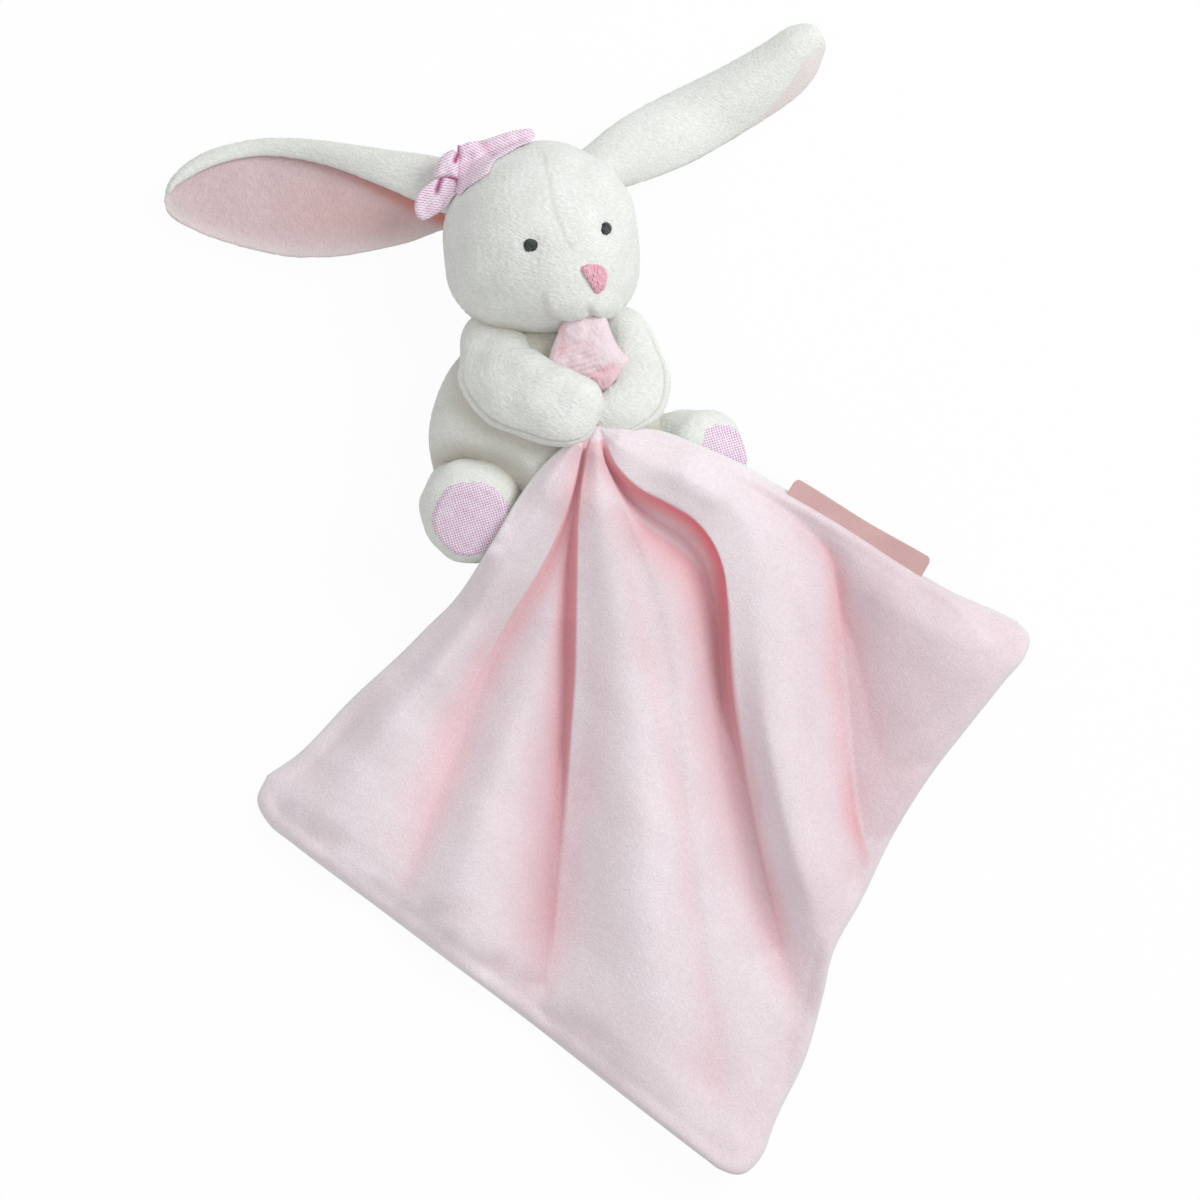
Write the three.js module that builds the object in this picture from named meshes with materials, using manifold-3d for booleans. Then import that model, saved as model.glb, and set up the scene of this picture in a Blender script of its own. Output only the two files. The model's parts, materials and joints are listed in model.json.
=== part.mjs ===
// A comfort blanket lovey: a small plush rabbit that hugs a folded velour blanket.
// It lies on its back as in a flat lay: +Z is up from the surface, +Y runs towards the head
// and +X to the right of someone who looks down on it. All lengths are in millimetres.

import * as THREE from 'three';
import { mergeVertices } from 'three/addons/utils/BufferGeometryUtils.js';
import Module from 'manifold-3d';

const wasm = await Module();
wasm.setup();

// Cloth and clearances
const PLUSH_THICKNESS = 1.8;
const SEAM_GAP = 0.3;
const SEAT_GAP = 0.4;
const FACET_SAG = 0.5;
const CUT_OVERRUN = 180;

// Torso, which rests flat on its back
const TORSO_WIDTH = 75;
const TORSO_LENGTH = 72;
const TORSO_DEPTH = 45;
const TORSO_FLAT = 0.5;
const TORSO_TAPER_SHARE = 0.08;

// Head, sunk a little into the shoulders
const HEAD_WIDTH = 63;
const HEAD_HEIGHT = 62;
const HEAD_DEPTH = 60;
const HEAD_FLAT = 0.5;
const HEAD_ASIDE = 1;
const NECK_SINK = 5.4;
const NECK_AXIS_DROP = 2.5;
const NECK_AXIS_HEIGHT = 43.5;
const NECK_NOD = 12;
const CHEEK_RISE = 3.6;
const MUZZLE_RISE = 2.9;
const EYE_WIDTH = 5;
const EYE_THICKNESS = 1.6;
const NOSE_WIDTH = 10;
const NOSE_HEIGHT = 9.5;
const NOSE_THICKNESS = 1.8;

// Arms, which meet in front of the belly and hold the blanket
const ARM_WIDTH = 28;
const ARM_FLATNESS_SHARE = 0.72;
const SHOULDER_LIFT = 10;

// Tuft: the corner of the blanket above the paws
const TUFT_WIDTH = 27;
const TUFT_FLATNESS_SHARE = 0.5;

// Legs and the round soles on their ends
const LEG_LENGTH = 36;
const FOOT_WIDTH = 34;
const FOOT_EDGE = 7;
const SOLE_WIDTH = 25.4;
const LEFT_LEG_SWING = 15;
const RIGHT_LEG_SWING = 12;

// Ears: a plush back and a velour lining
const LEFT_EAR_LENGTH = 96;
const LEFT_EAR_WIDTH = 38.6;
const LEFT_EAR_ROOT_HEIGHT = 13;
const RIGHT_EAR_LENGTH = 88;
const RIGHT_EAR_WIDTH = 23;
const RIGHT_EAR_ROOT_HEIGHT = 13;
const RIGHT_EAR_ARCH = 7;
const EAR_BACK_THICKNESS = 2.6;
const EAR_LINING_THICKNESS = 1.9;
const EAR_HINGE_REACH = 14;
const EAR_LIFT = 60;

// Bow: a knotted ribbon of woven cotton
const BOW_LEFT_LENGTH = 16.5;
const BOW_RIGHT_LENGTH = 28.5;
const BOW_WIDTH = 14;
const BOW_THICKNESS = 6;
const BOW_KNOT_WIDTH = 9;
const BOW_KNOT_LENGTH = 17.4;
const BOW_KNOT_THICKNESS = 8.4;
const BOW_RISE = 4;
const BOW_DROP = 2;

// Blanket: two velour squares sewn together and turned
const BLANKET_SIDE = 208;
const BLANKET_CLOTH = 2.4;
const BLANKET_CORNER = 10.5;
const BLANKET_RIM = 7;
const GATHER_WIDTH = 15;
const TENT_SPREAD = 66;
const DRAPE_GAP = 1.2;
const CLOTH_SLOPE_SHARE = 0.75;
const CLOTH_SLACK = 5;
const FOLD_DEPTH = 15;
const FOLD_WIDTH = 11;
const BLANKET_LIFT = 60;

// Label sewn into the blanket's upper right edge
const LABEL_LENGTH = 53;
const LABEL_WIDTH = 7;
const LABEL_THICKNESS = 0.9;
const LABEL_LIFT = 60;

// Numbers of faces
const FINE_BALL = 5;
const COARSE_BALL = 3;
const LIMB_SIDES = 16;
const LIMB_RINGS = 10;
const LINER_SIDES = 16;
const LINER_RINGS = 8;
const EAR_RINGS = 13;
const BOW_SIDES = 10;
const BOW_RINGS = 7;
const ROD_SIDES = 20;
const BLANKET_RAYS = 30;
const BLANKET_RINGS = 12;
const SWEEP_STEPS = 3;

// Places on the torso and the head are shares of their half widths, half lengths and depths
const leftArmPathShares = [
  [-0.38, 0.82, 0.42],
  [-0.5, 0.68, 0.64],
  [-0.39, 0.4, 0.88],
  [-0.03, 0.24, 1.06],
  [0.52, 0.09, 1.14],
];
const leftArmRadiusShares = [0.78, 0.93, 1.03, 0.97, 0.8];
const rightArmPathShares = [
  [0.2, 0.76, 0.48],
  [0.6, 0.82, 0.6],
  [0.78, 0.54, 0.8],
  [0.8, 0.28, 0.95],
  [0.62, 0.14, 1.02],
  [0.38, 0.11, 1.05],
];
const rightArmRadiusShares = [0.72, 0.74, 0.72, 0.71, 0.6, 0.5];
const tuftPathShares = [
  [0.47, -0.02, 1.04],
  [0.47, 0.2, 1.06],
  [0.42, 0.56, 1.1],
  [0.38, 0.93, 1.12],
];
const tuftRadiusShares = [0.3, 0.42, 1, 0.6];
const gripShare = [0.48, -0.03, 1.04];
const shoulderPivotShare = [0, 0.8, 1];
const leftHipShare = [-0.61, -0.52, 0.1];
const leftLegAimShare = [-0.08, -0.28, 0.955];
const leftHipPivotShare = [-0.2, -0.45, 0.5];
const rightHipShare = [0.82, -0.26, 0.1];
const rightLegAimShare = [0.75, -0.06, 0.66];
const rightHipPivotShare = [0.4, -0.3, 0.5];
const legRadiusShares = [0.8, 0.86, 0.97, 1];
const limbEndShare = 0.03;
const leftEyeShare = [-0.115, -0.108];
const rightEyeShare = [0.655, 0.075];
const noseShare = [0.5, -0.47];
const noseTaperShare = 0.45;
const seamNormalShare = [0.9, 0.22, -0.33];
const headSwells = [
  { aimShare: [-0.72, -0.64, 0.1], rise: CHEEK_RISE, spreadShare: 0.5 },
  { aimShare: [0.72, -0.62, 0.12], rise: CHEEK_RISE, spreadShare: 0.5 },
  { aimShare: [0.28, -0.58, 0.74], rise: MUZZLE_RISE, spreadShare: 0.4 },
  { aimShare: [0.62, -0.55, 0.62], rise: MUZZLE_RISE, spreadShare: 0.34 },
];
const leftEarRootShare = [-0.82, 0.45];
const rightEarRootShare = [0.53, 0.69];
const leftEarAim = 180;
const rightEarAim = 32.8;
const leftEarWidthShares = [0.55, 0.68, 0.8, 0.9, 0.97, 1, 0.99, 0.94, 0.84, 0.66, 0.2];
const rightEarWidthShares = [0.68, 0.79, 0.9, 0.98, 1, 0.99, 0.96, 0.92, 0.86, 0.72, 0.15];
const leftEarFoldShares = [0.95, 0.85, 0.7, 0.52, 0.42, 0.4, 0.38, 0.36, 0.34, 0.3, 0.3];
const rightEarBowShare = 0.1;
const earSlopeShare = 0.5;
const earHemShares = { seam: 0.94, turn: 0.92, crease: 0.84, liningTurn: 0.8, liningEdge: 0.9 };
const earArchShares = [-1, -0.6, -0.2, 0.2, 0.6, 1];
const bowKnotShare = [-0.9, 0.69];
const bowTurn = 36;

// Outline of the blanket, from the paws, as shares of its side
const leftCornerShare = [-0.565, -0.58];
const bottomCornerShare = [0.23, -1.189];
const rightCornerShare = [0.694, -0.317];
const cornerPullShare = 0.5;
const leftEdgeSwellShare = 0.024;
const leftEdgeSkewShare = 0.54;
const rightEdgeSwellShare = 0.052;
const rightEdgeSwellEndShare = 0.85;
const lowerRightDrawShare = 0.053;
const lowerRightSkewShare = 0.8;
const edgeReachShare = 0.3;
const labelReachShares = [0.365, 0.7];
const ringCrowdShare = 1.25;
const rimDrawShare = 0.45;
const labelCornerShares = [
  { along: 0, inset: 0.35 },
  { along: 0.02, inset: 0.12 },
  { along: 0.06, inset: 0 },
  { along: 0.5, inset: 0 },
  { along: 0.94, inset: 0 },
  { along: 0.98, inset: 0.12 },
  { along: 1, inset: 0.35 },
];

// Folds that run from the paws, as shares of the blanket's side: route, depth and width
const foldShares = [
  {
    route: [[-0.014, -0.05], [-0.034, -0.29], [-0.048, -0.59], [-0.095, -0.9]],
    depth: 0.75,
    width: 0.8,
  },
  {
    route: [[-0.04, -0.11], [-0.12, -0.27], [-0.2, -0.42], [-0.36, -0.59]],
    depth: 0.45,
    width: 1,
  },
  {
    route: [[0.03, -0.06], [0.14, -0.13], [0.2, -0.24], [0.23, -0.43], [0.27, -0.67], [0.31, -0.92]],
    depth: 1,
    width: 1,
  },
  {
    route: [[0.33, -0.19], [0.38, -0.34], [0.39, -0.52], [0.42, -0.67]],
    depth: 0.4,
    width: 1,
  },
];
const foldStartShare = 0.17;
const foldEndShare = 0.6;
const slackStartShare = 0.25;
const slackEndShares = [0.67, 1];

// Basic values worked out from the sizes
const torsoCentre = new THREE.Vector3(0, 0, TORSO_DEPTH / 2 - TORSO_FLAT);
const headCentre = new THREE.Vector3(
  -HEAD_ASIDE,
  TORSO_LENGTH / 2 + HEAD_HEIGHT / 2 - NECK_SINK,
  HEAD_DEPTH / 2 - HEAD_FLAT,
);

function vector(list) {
  return new THREE.Vector3(...list);
}

function onTorso(share) {
  return new THREE.Vector3(
    torsoCentre.x + share[0] * TORSO_WIDTH / 2,
    torsoCentre.y + share[1] * TORSO_LENGTH / 2,
    share[2] * TORSO_DEPTH,
  );
}

function smooth(value) {
  const t = Math.min(Math.max(value, 0), 1);
  return t * t * (3 - 2 * t);
}

function alongShares(shares, t) {
  const place = Math.min(Math.max(t, 0), 1) * (shares.length - 1);
  const first = Math.min(Math.floor(place), shares.length - 2);
  return THREE.MathUtils.lerp(shares[first], shares[first + 1], smooth(place - first));
}

// Solids

function geometryFrom(points, triangles) {
  const geometry = new THREE.BufferGeometry();
  const positions = points.flatMap((p) => [p.x, p.y, p.z]);
  geometry.setAttribute('position', new THREE.Float32BufferAttribute(positions, 3));
  geometry.setIndex(triangles);
  return geometry;
}

function solidFrom(geometry, matrix = new THREE.Matrix4()) {
  const copy = geometry.clone().applyMatrix4(matrix);
  copy.deleteAttribute('normal');
  copy.deleteAttribute('uv');
  const merged = mergeVertices(copy);
  return new wasm.Manifold(new wasm.Mesh({
    numProp: 3,
    vertProperties: new Float32Array(merged.attributes.position.array),
    triVerts: new Uint32Array(merged.index.array),
  }));
}

function geometryOf(solid) {
  const mesh = solid.getMesh();
  const geometry = new THREE.BufferGeometry();
  const positions = [];
  for (let i = 0; i < mesh.numVert; i += 1) {
    positions.push(...mesh.vertProperties.slice(i * mesh.numProp, i * mesh.numProp + 3));
  }
  geometry.setAttribute('position', new THREE.Float32BufferAttribute(positions, 3));
  geometry.setIndex(Array.from(mesh.triVerts));
  const flat = geometry.toNonIndexed();
  flat.computeVertexNormals();
  return flat;
}

function cut(solid, ...cutters) {
  return cutters.flat().reduce((rest, cutter) => rest.subtract(cutter), solid);
}

// A ball whose every direction is moved by a rule, made from an even mesh of triangles
function ball(detail, place) {
  const geometry = new THREE.IcosahedronGeometry(1, detail);
  geometry.deleteAttribute('normal');
  geometry.deleteAttribute('uv');
  const merged = mergeVertices(geometry, 1e-4);
  const positions = merged.attributes.position;
  const direction = new THREE.Vector3();
  for (let i = 0; i < positions.count; i += 1) {
    const point = place(direction.fromBufferAttribute(positions, i).normalize());
    positions.setXYZ(i, point.x, point.y, point.z);
  }
  return merged;
}

// Closed body through rings of equal count, with flat ends
function loft(rings) {
  const count = rings[0].length;
  const points = rings.flat();
  const triangles = [];
  for (let i = 0; i + 1 < rings.length; i += 1) {
    for (let j = 0; j < count; j += 1) {
      const a = i * count + j;
      const b = i * count + (j + 1) % count;
      triangles.push(a, b, b + count, a, b + count, a + count);
    }
  }
  const outline = rings[0].map((p) => p.section);
  const faces = THREE.ShapeUtils.triangulateShape(outline, []);
  const last = (rings.length - 1) * count;
  for (const face of faces) {
    const [a, b, c] = THREE.ShapeUtils.isClockWise(outline) ? [...face].reverse() : face;
    triangles.push(a, c, b, last + a, last + b, last + c);
  }
  return geometryFrom(points, triangles);
}

// Swelling limb along a curve, with rounded ends
function limb({ path, radii, flatness, grow, sides, rings, startRound, endRound }) {
  const curve = new THREE.CatmullRomCurve3(path, false, 'centripetal');
  const length = curve.getLength();
  const loops = [];
  for (let i = 0; i <= rings; i += 1) {
    const t = (1 - Math.cos(Math.PI * i / rings)) / 2;
    const middle = curve.getPointAt(t);
    const ahead = curve.getTangentAt(t);
    const across = new THREE.Vector3(-ahead.y, ahead.x, 0).normalize();
    const over = new THREE.Vector3().crossVectors(ahead, across);
    const toStart = Math.min(t * length / startRound, 1);
    const toEnd = Math.min((1 - t) * length / endRound, 1);
    const round = Math.sqrt(1 - (1 - toStart) ** 2) * Math.sqrt(1 - (1 - toEnd) ** 2);
    const radius = (alongShares(radii, t) + grow) * Math.max(round, limbEndShare);
    middle.addScaledVector(ahead, grow * (2 * t - 1));
    loops.push(Array.from({ length: sides }, (_, j) => {
      const angle = 2 * Math.PI * j / sides;
      const wide = Math.cos(angle) * radius;
      const deep = Math.sin(angle) * radius * flatness;
      const point = middle.clone().addScaledVector(across, wide).addScaledVector(over, deep);
      point.z = Math.max(point.z, -grow);
      point.section = new THREE.Vector2(wide, deep);
      return point;
    }));
  }
  return loft(loops);
}

// Part of space on one side of a plane
function halfSpace(point, normal) {
  const box = new THREE.BoxGeometry(2 * CUT_OVERRUN, 2 * CUT_OVERRUN, CUT_OVERRUN);
  box.translate(0, 0, CUT_OVERRUN / 2);
  const turn = new THREE.Quaternion().setFromUnitVectors(new THREE.Vector3(0, 0, 1), normal);
  const matrix = new THREE.Matrix4().compose(point, turn, new THREE.Vector3(1, 1, 1));
  return solidFrom(box, matrix);
}

function rodAlong(start, aim, radius, length) {
  const rod = new THREE.CylinderGeometry(radius, radius, length, ROD_SIDES);
  const turn = new THREE.Quaternion().setFromUnitVectors(new THREE.Vector3(0, 1, 0), aim);
  const middle = start.clone().addScaledVector(aim, length / 2);
  return solidFrom(rod, new THREE.Matrix4().compose(middle, turn, new THREE.Vector3(1, 1, 1)));
}

// Joints: a point, an axis and a range in degrees

function turnAbout(joint, degrees) {
  const angle = THREE.MathUtils.degToRad(degrees);
  const there = new THREE.Matrix4().makeTranslation(joint.at.x, joint.at.y, joint.at.z);
  const back = new THREE.Matrix4().makeTranslation(-joint.at.x, -joint.at.y, -joint.at.z);
  return there.multiply(new THREE.Matrix4().makeRotationAxis(joint.axis, angle)).multiply(back);
}

// What a neighbour sweeps, seen from a piece that a joint moves (-1) or that stays (+1)
function swept(geometry, joint, sense, steps = SWEEP_STEPS) {
  return Array.from({ length: steps + 1 }, (_, i) => (
    solidFrom(geometry, turnAbout(joint, sense * joint.to * i / steps))
  ));
}

const joints = {
  neck: {
    at: new THREE.Vector3(
      headCentre.x,
      headCentre.y - HEAD_HEIGHT / 2 + NECK_AXIS_DROP,
      NECK_AXIS_HEIGHT,
    ),
    axis: new THREE.Vector3(1, 0, 0),
    to: NECK_NOD,
  },
  shoulders: {
    at: onTorso(shoulderPivotShare),
    axis: new THREE.Vector3(-1, 0, 0),
    to: SHOULDER_LIFT,
  },
  left_hip: {
    at: onTorso(leftHipPivotShare),
    axis: new THREE.Vector3(0, 0, -1),
    to: LEFT_LEG_SWING,
  },
  right_hip: {
    at: onTorso(rightHipPivotShare),
    axis: new THREE.Vector3(0, 0, 1),
    to: RIGHT_LEG_SWING,
  },
};

// Outer forms; grow makes a form larger all round, to cut clearance or, below zero, a lining

function torsoForm(grow, detail) {
  return ball(detail, (d) => {
    const narrow = 1 - TORSO_TAPER_SHARE * d.y;
    const point = new THREE.Vector3(
      d.x * (TORSO_WIDTH / 2 * narrow + grow),
      d.y * (TORSO_LENGTH / 2 + grow),
      d.z * (TORSO_DEPTH / 2 + grow),
    ).add(torsoCentre);
    point.z = Math.max(point.z, -grow);
    return point;
  });
}

function headPoint(direction, grow) {
  const swell = headSwells.reduce((sum, { aimShare, rise, spreadShare }) => {
    const angle = direction.angleTo(vector(aimShare).normalize());
    return sum + rise * Math.exp(-((angle / spreadShare) ** 2));
  }, 0);
  const point = new THREE.Vector3(
    direction.x * (HEAD_WIDTH / 2 + grow + swell),
    direction.y * (HEAD_HEIGHT / 2 + grow + swell),
    direction.z * (HEAD_DEPTH / 2 + grow + swell),
  ).add(headCentre);
  point.z = Math.max(point.z, -grow);
  return point;
}

function headForm(grow, detail) {
  return ball(detail, (d) => headPoint(d, grow));
}

// Direction on the front of the head that is seen at a share of its half width and half height
function faceDirection(share) {
  const depth = Math.sqrt(1 - share[0] ** 2 - share[1] ** 2);
  return new THREE.Vector3(share[0], share[1], depth).normalize();
}

const sideSizes = {
  fine: { sides: LIMB_SIDES, rings: LIMB_RINGS },
  coarse: { sides: LINER_SIDES, rings: LINER_RINGS },
};

function armForm(pathShares, radiusShares, grow, size) {
  return limb({
    path: pathShares.map(onTorso),
    radii: radiusShares.map((share) => share * ARM_WIDTH / 2),
    flatness: ARM_FLATNESS_SHARE,
    grow,
    startRound: ARM_WIDTH / 3,
    endRound: ARM_WIDTH / 3,
    ...size,
  });
}

const leftArmForm = (grow, size) => armForm(leftArmPathShares, leftArmRadiusShares, grow, size);
const rightArmForm = (grow, size) => armForm(rightArmPathShares, rightArmRadiusShares, grow, size);

function tuftForm(grow, size) {
  return limb({
    path: tuftPathShares.map(onTorso),
    radii: tuftRadiusShares.map((share) => share * TUFT_WIDTH / 2),
    flatness: TUFT_FLATNESS_SHARE,
    grow,
    startRound: TUFT_WIDTH / 12,
    endRound: TUFT_WIDTH / 3,
    ...size,
  });
}

function legLine(hipShare, aimShare) {
  const hip = onTorso(hipShare);
  const aim = vector(aimShare).normalize();
  return { hip, aim, sole: hip.clone().addScaledVector(aim, LEG_LENGTH) };
}

function legForm(line, grow, size) {
  const { hip, aim } = line;
  return limb({
    path: [0, 1 / 3, 2 / 3, 1].map((share) => hip.clone().addScaledVector(aim, share * LEG_LENGTH)),
    radii: legRadiusShares.map((share) => share * FOOT_WIDTH / 2),
    flatness: 1,
    grow,
    startRound: FOOT_EDGE,
    endRound: FOOT_EDGE,
    ...size,
  });
}

const leftLeg = legLine(leftHipShare, leftLegAimShare);
const rightLeg = legLine(rightHipShare, rightLegAimShare);

// Head

const leftEarRoot = onHead(leftEarRootShare, LEFT_EAR_ROOT_HEIGHT);
const rightEarRoot = onHead(rightEarRootShare, RIGHT_EAR_ROOT_HEIGHT);

function onHead(share, height) {
  return new THREE.Vector3(
    headCentre.x + share[0] * HEAD_WIDTH / 2,
    headCentre.y + share[1] * HEAD_HEIGHT / 2,
    height,
  );
}

function headShell() {
  return cut(solidFrom(headForm(0, FINE_BALL)), solidFrom(headForm(-PLUSH_THICKNESS, COARSE_BALL)));
}

function headPanel(side) {
  const normal = vector(seamNormalShare).normalize().multiplyScalar(side);
  const seam = headCentre.clone().addScaledVector(normal, SEAM_GAP / 2);
  return headShell().intersect(halfSpace(seam, normal));
}

function headStuffing() {
  return solidFrom(headForm(-PLUSH_THICKNESS - SEAM_GAP, COARSE_BALL));
}

// Embroidered patch: a flat cap that stands on the face
function facePatch(share, width, height, thickness, taper) {
  const aim = faceDirection(share);
  const seat = headPoint(aim, 0);
  const turn = new THREE.Quaternion().setFromUnitVectors(new THREE.Vector3(0, 0, 1), aim);
  const patch = ball(1, (d) => new THREE.Vector3(
    d.x * width / 2 * (1 + taper * d.y),
    d.y * height / 2,
    d.z * (thickness + SEAM_GAP),
  ).applyQuaternion(turn).add(seat));
  return cut(solidFrom(patch), solidFrom(headForm(SEAM_GAP, FINE_BALL)));
}

// Ears

function earRings(root, aim, length, width, heightOf, widthShares, bowShare, section) {
  const angle = THREE.MathUtils.degToRad(aim);
  const along = new THREE.Vector3(Math.cos(angle), Math.sin(angle), 0);
  const across = new THREE.Vector3(along.y, -along.x, 0);
  return Array.from({ length: EAR_RINGS + 1 }, (_, i) => {
    const t = Math.sin(Math.PI * i / EAR_RINGS / 2);
    const half = alongShares(widthShares, t) * width / 2;
    const bow = bowShare * width * Math.sin(Math.PI * t);
    return section(t).map(([v, z]) => {
      const point = root.clone()
        .addScaledVector(along, t * length)
        .addScaledVector(across, v * half + bow);
      point.z = z + heightOf(t);
      point.section = new THREE.Vector2(v * half, z);
      return point;
    });
  });
}

const EAR_STACK = 2 * EAR_BACK_THICKNESS + EAR_LINING_THICKNESS + 2 * SEAM_GAP;

// How high the ear lies over the surface: it comes down from the head
function earHeight(rootHeight, t) {
  return rootHeight * (1 - smooth(t / earSlopeShare));
}

// The upper third of this ear is folded over, so its plush back shows above the lining
function foldedEarBack(t) {
  const fold = 1 - alongShares(leftEarFoldShares, t);
  const edge = EAR_BACK_THICKNESS;
  const inner = EAR_STACK - EAR_BACK_THICKNESS;
  const { seam, turn, crease } = earHemShares;
  return [
    [-seam, edge], [crease, edge], [crease, inner], [fold, inner], [fold, EAR_STACK],
    [turn, EAR_STACK], [1, EAR_STACK / 2], [turn, 0], [-seam, 0], [-1, edge / 2],
  ];
}

function foldedEarLining() {
  const low = EAR_BACK_THICKNESS + SEAM_GAP;
  const high = low + EAR_LINING_THICKNESS;
  const { liningTurn, liningEdge } = earHemShares;
  return [[-liningEdge, high], [liningTurn, high], [liningTurn, low], [-liningEdge, low]];
}

// This ear lies on its lining and arches up, and the lining shows as a strip at its lower edge
function archedEar(low, high, places) {
  const arch = (v, z) => [v, z + RIGHT_EAR_ARCH * (1 - v * v)];
  return [
    ...places.map((v) => arch(v, low)).reverse(),
    ...places.map((v) => arch(v, high)),
  ];
}

const archedEarLining = () => archedEar(0, EAR_LINING_THICKNESS, earArchShares.slice(1));
const archedEarBack = () => archedEar(
  EAR_LINING_THICKNESS + 2 * SEAT_GAP,
  EAR_LINING_THICKNESS + 2 * SEAT_GAP + EAR_BACK_THICKNESS,
  earArchShares.slice(0, -1),
);

function earJoint(root, aim, height, reach) {
  const angle = THREE.MathUtils.degToRad(aim);
  const along = new THREE.Vector3(Math.cos(angle), Math.sin(angle), 0);
  const at = root.clone().addScaledVector(along, reach);
  at.z = height;
  return { at, axis: new THREE.Vector3(along.y, -along.x, 0), to: EAR_LIFT };
}

joints.left_ear = earJoint(
  leftEarRoot,
  leftEarAim,
  earHeight(LEFT_EAR_ROOT_HEIGHT, EAR_HINGE_REACH / LEFT_EAR_LENGTH) + EAR_STACK,
  EAR_HINGE_REACH,
);
joints.right_ear = earJoint(
  rightEarRoot,
  rightEarAim,
  earHeight(RIGHT_EAR_ROOT_HEIGHT, EAR_HINGE_REACH / RIGHT_EAR_LENGTH) + EAR_STACK,
  EAR_HINGE_REACH,
);

function leftEar(section) {
  return solidFrom(loft(earRings(
    leftEarRoot,
    leftEarAim,
    LEFT_EAR_LENGTH,
    LEFT_EAR_WIDTH,
    (t) => earHeight(LEFT_EAR_ROOT_HEIGHT, t),
    leftEarWidthShares,
    0,
    section,
  )));
}

function rightEar(section) {
  return solidFrom(loft(earRings(
    rightEarRoot,
    rightEarAim,
    RIGHT_EAR_LENGTH,
    RIGHT_EAR_WIDTH,
    (t) => earHeight(RIGHT_EAR_ROOT_HEIGHT, t),
    rightEarWidthShares,
    rightEarBowShare,
    section,
  )));
}

function clearOfHead(ear, joint) {
  return cut(ear, swept(headForm(SEAT_GAP + FACET_SAG, COARSE_BALL), joint, -1));
}

// Bow

const bowKnot = onHead(bowKnotShare, HEAD_DEPTH / 2 + BOW_RISE);
const bowEnds = {
  left: { turn: bowTurn + 200, reach: BOW_LEFT_LENGTH, widthShares: [0.5, 0.8, 0.85, 0.7], rise: -BOW_DROP },
  right: { turn: bowTurn - 8, reach: BOW_RIGHT_LENGTH, widthShares: [0.9, 1, 0.6, 0.35], rise: BOW_DROP },
};

function bowEnd({ turn, reach, widthShares, rise }) {
  const angle = THREE.MathUtils.degToRad(turn);
  const aim = new THREE.Vector3(Math.cos(angle), Math.sin(angle), 0);
  const path = [0, 1 / 3, 2 / 3, 1].map((share) => {
    const point = bowKnot.clone().addScaledVector(aim, share * reach);
    point.z += share * rise;
    return point;
  });
  return limb({
    path,
    radii: widthShares.map((share) => share * BOW_WIDTH / 2),
    flatness: BOW_THICKNESS / BOW_WIDTH,
    grow: 0,
    sides: BOW_SIDES,
    rings: BOW_RINGS,
    startRound: BOW_WIDTH / 6,
    endRound: BOW_WIDTH / 6,
  });
}

function knotForm(grow) {
  const turn = new THREE.Quaternion().setFromAxisAngle(
    new THREE.Vector3(0, 0, 1),
    THREE.MathUtils.degToRad(bowTurn),
  );
  return ball(2, (d) => new THREE.Vector3(
    d.x * (BOW_KNOT_WIDTH / 2 + grow),
    d.y * (BOW_KNOT_LENGTH / 2 + grow),
    d.z * (BOW_KNOT_THICKNESS / 2 + grow),
  ).applyQuaternion(turn).add(bowKnot));
}

const clearOfFace = () => solidFrom(headForm(SEAT_GAP + FACET_SAG, COARSE_BALL));

function bowEndSolid(end) {
  return cut(solidFrom(bowEnd(end)), solidFrom(knotForm(SEAM_GAP)), clearOfFace());
}

// Blanket: rays run from the paws to the outer edge, and the folds run along them

const grip = onTorso(gripShare);
joints.grip = {
  at: grip.clone(),
  axis: new THREE.Vector3(-1, 0, 0),
  to: BLANKET_LIFT,
};

function onBlanket(share) {
  return new THREE.Vector2(share[0] * BLANKET_SIDE, share[1] * BLANKET_SIDE);
}

// Outer edge at a ray: the lower left side up to a half, then the lower right side
function outerEdge(ray) {
  const corners = [leftCornerShare, bottomCornerShare, rightCornerShare].map(onBlanket);
  const half = ray < 1 / 2 ? 0 : 1;
  const t = ray * 2 - half;
  const place = corners[half].clone().lerp(corners[half + 1], t);
  if (half === 1) {
    const inward = corners[1].clone().sub(corners[2]).normalize();
    const draw = lowerRightDrawShare * BLANKET_SIDE * Math.sin(Math.PI * (1 - t) ** lowerRightSkewShare);
    place.add(new THREE.Vector2(inward.y, -inward.x).multiplyScalar(draw));
  }
  const nearest = Math.min(...[0, 1 / 2, 1].map((corner) => Math.abs(ray - corner)));
  const rounding = Math.max(0, 1 - nearest * 2 * BLANKET_SIDE / BLANKET_CORNER);
  return place.multiplyScalar(1 - rounding * BLANKET_CORNER * cornerPullShare / place.length());
}

function blanketPlace(ray, reach) {
  const outer = outerEdge(ray);
  const start = new THREE.Vector2((ray - 1 / 2) * GATHER_WIDTH, -SEAM_GAP);
  const place = start.lerp(outer, reach);
  const sideways = new THREE.Vector2(-outer.y, outer.x).normalize();
  const leftWave = Math.sin(2 * Math.PI * reach ** leftEdgeSkewShare);
  const rightWave = Math.sin(Math.PI * Math.sqrt(Math.min(reach / rightEdgeSwellEndShare, 1)));
  const leftSwell = -leftEdgeSwellShare * leftWave * (1 - smooth(ray / edgeReachShare));
  const rightSwell = rightEdgeSwellShare * rightWave * smooth(1 - (1 - ray) / edgeReachShare);
  return place.addScaledVector(sideways, (leftSwell + rightSwell) * BLANKET_SIDE);
}

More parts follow.
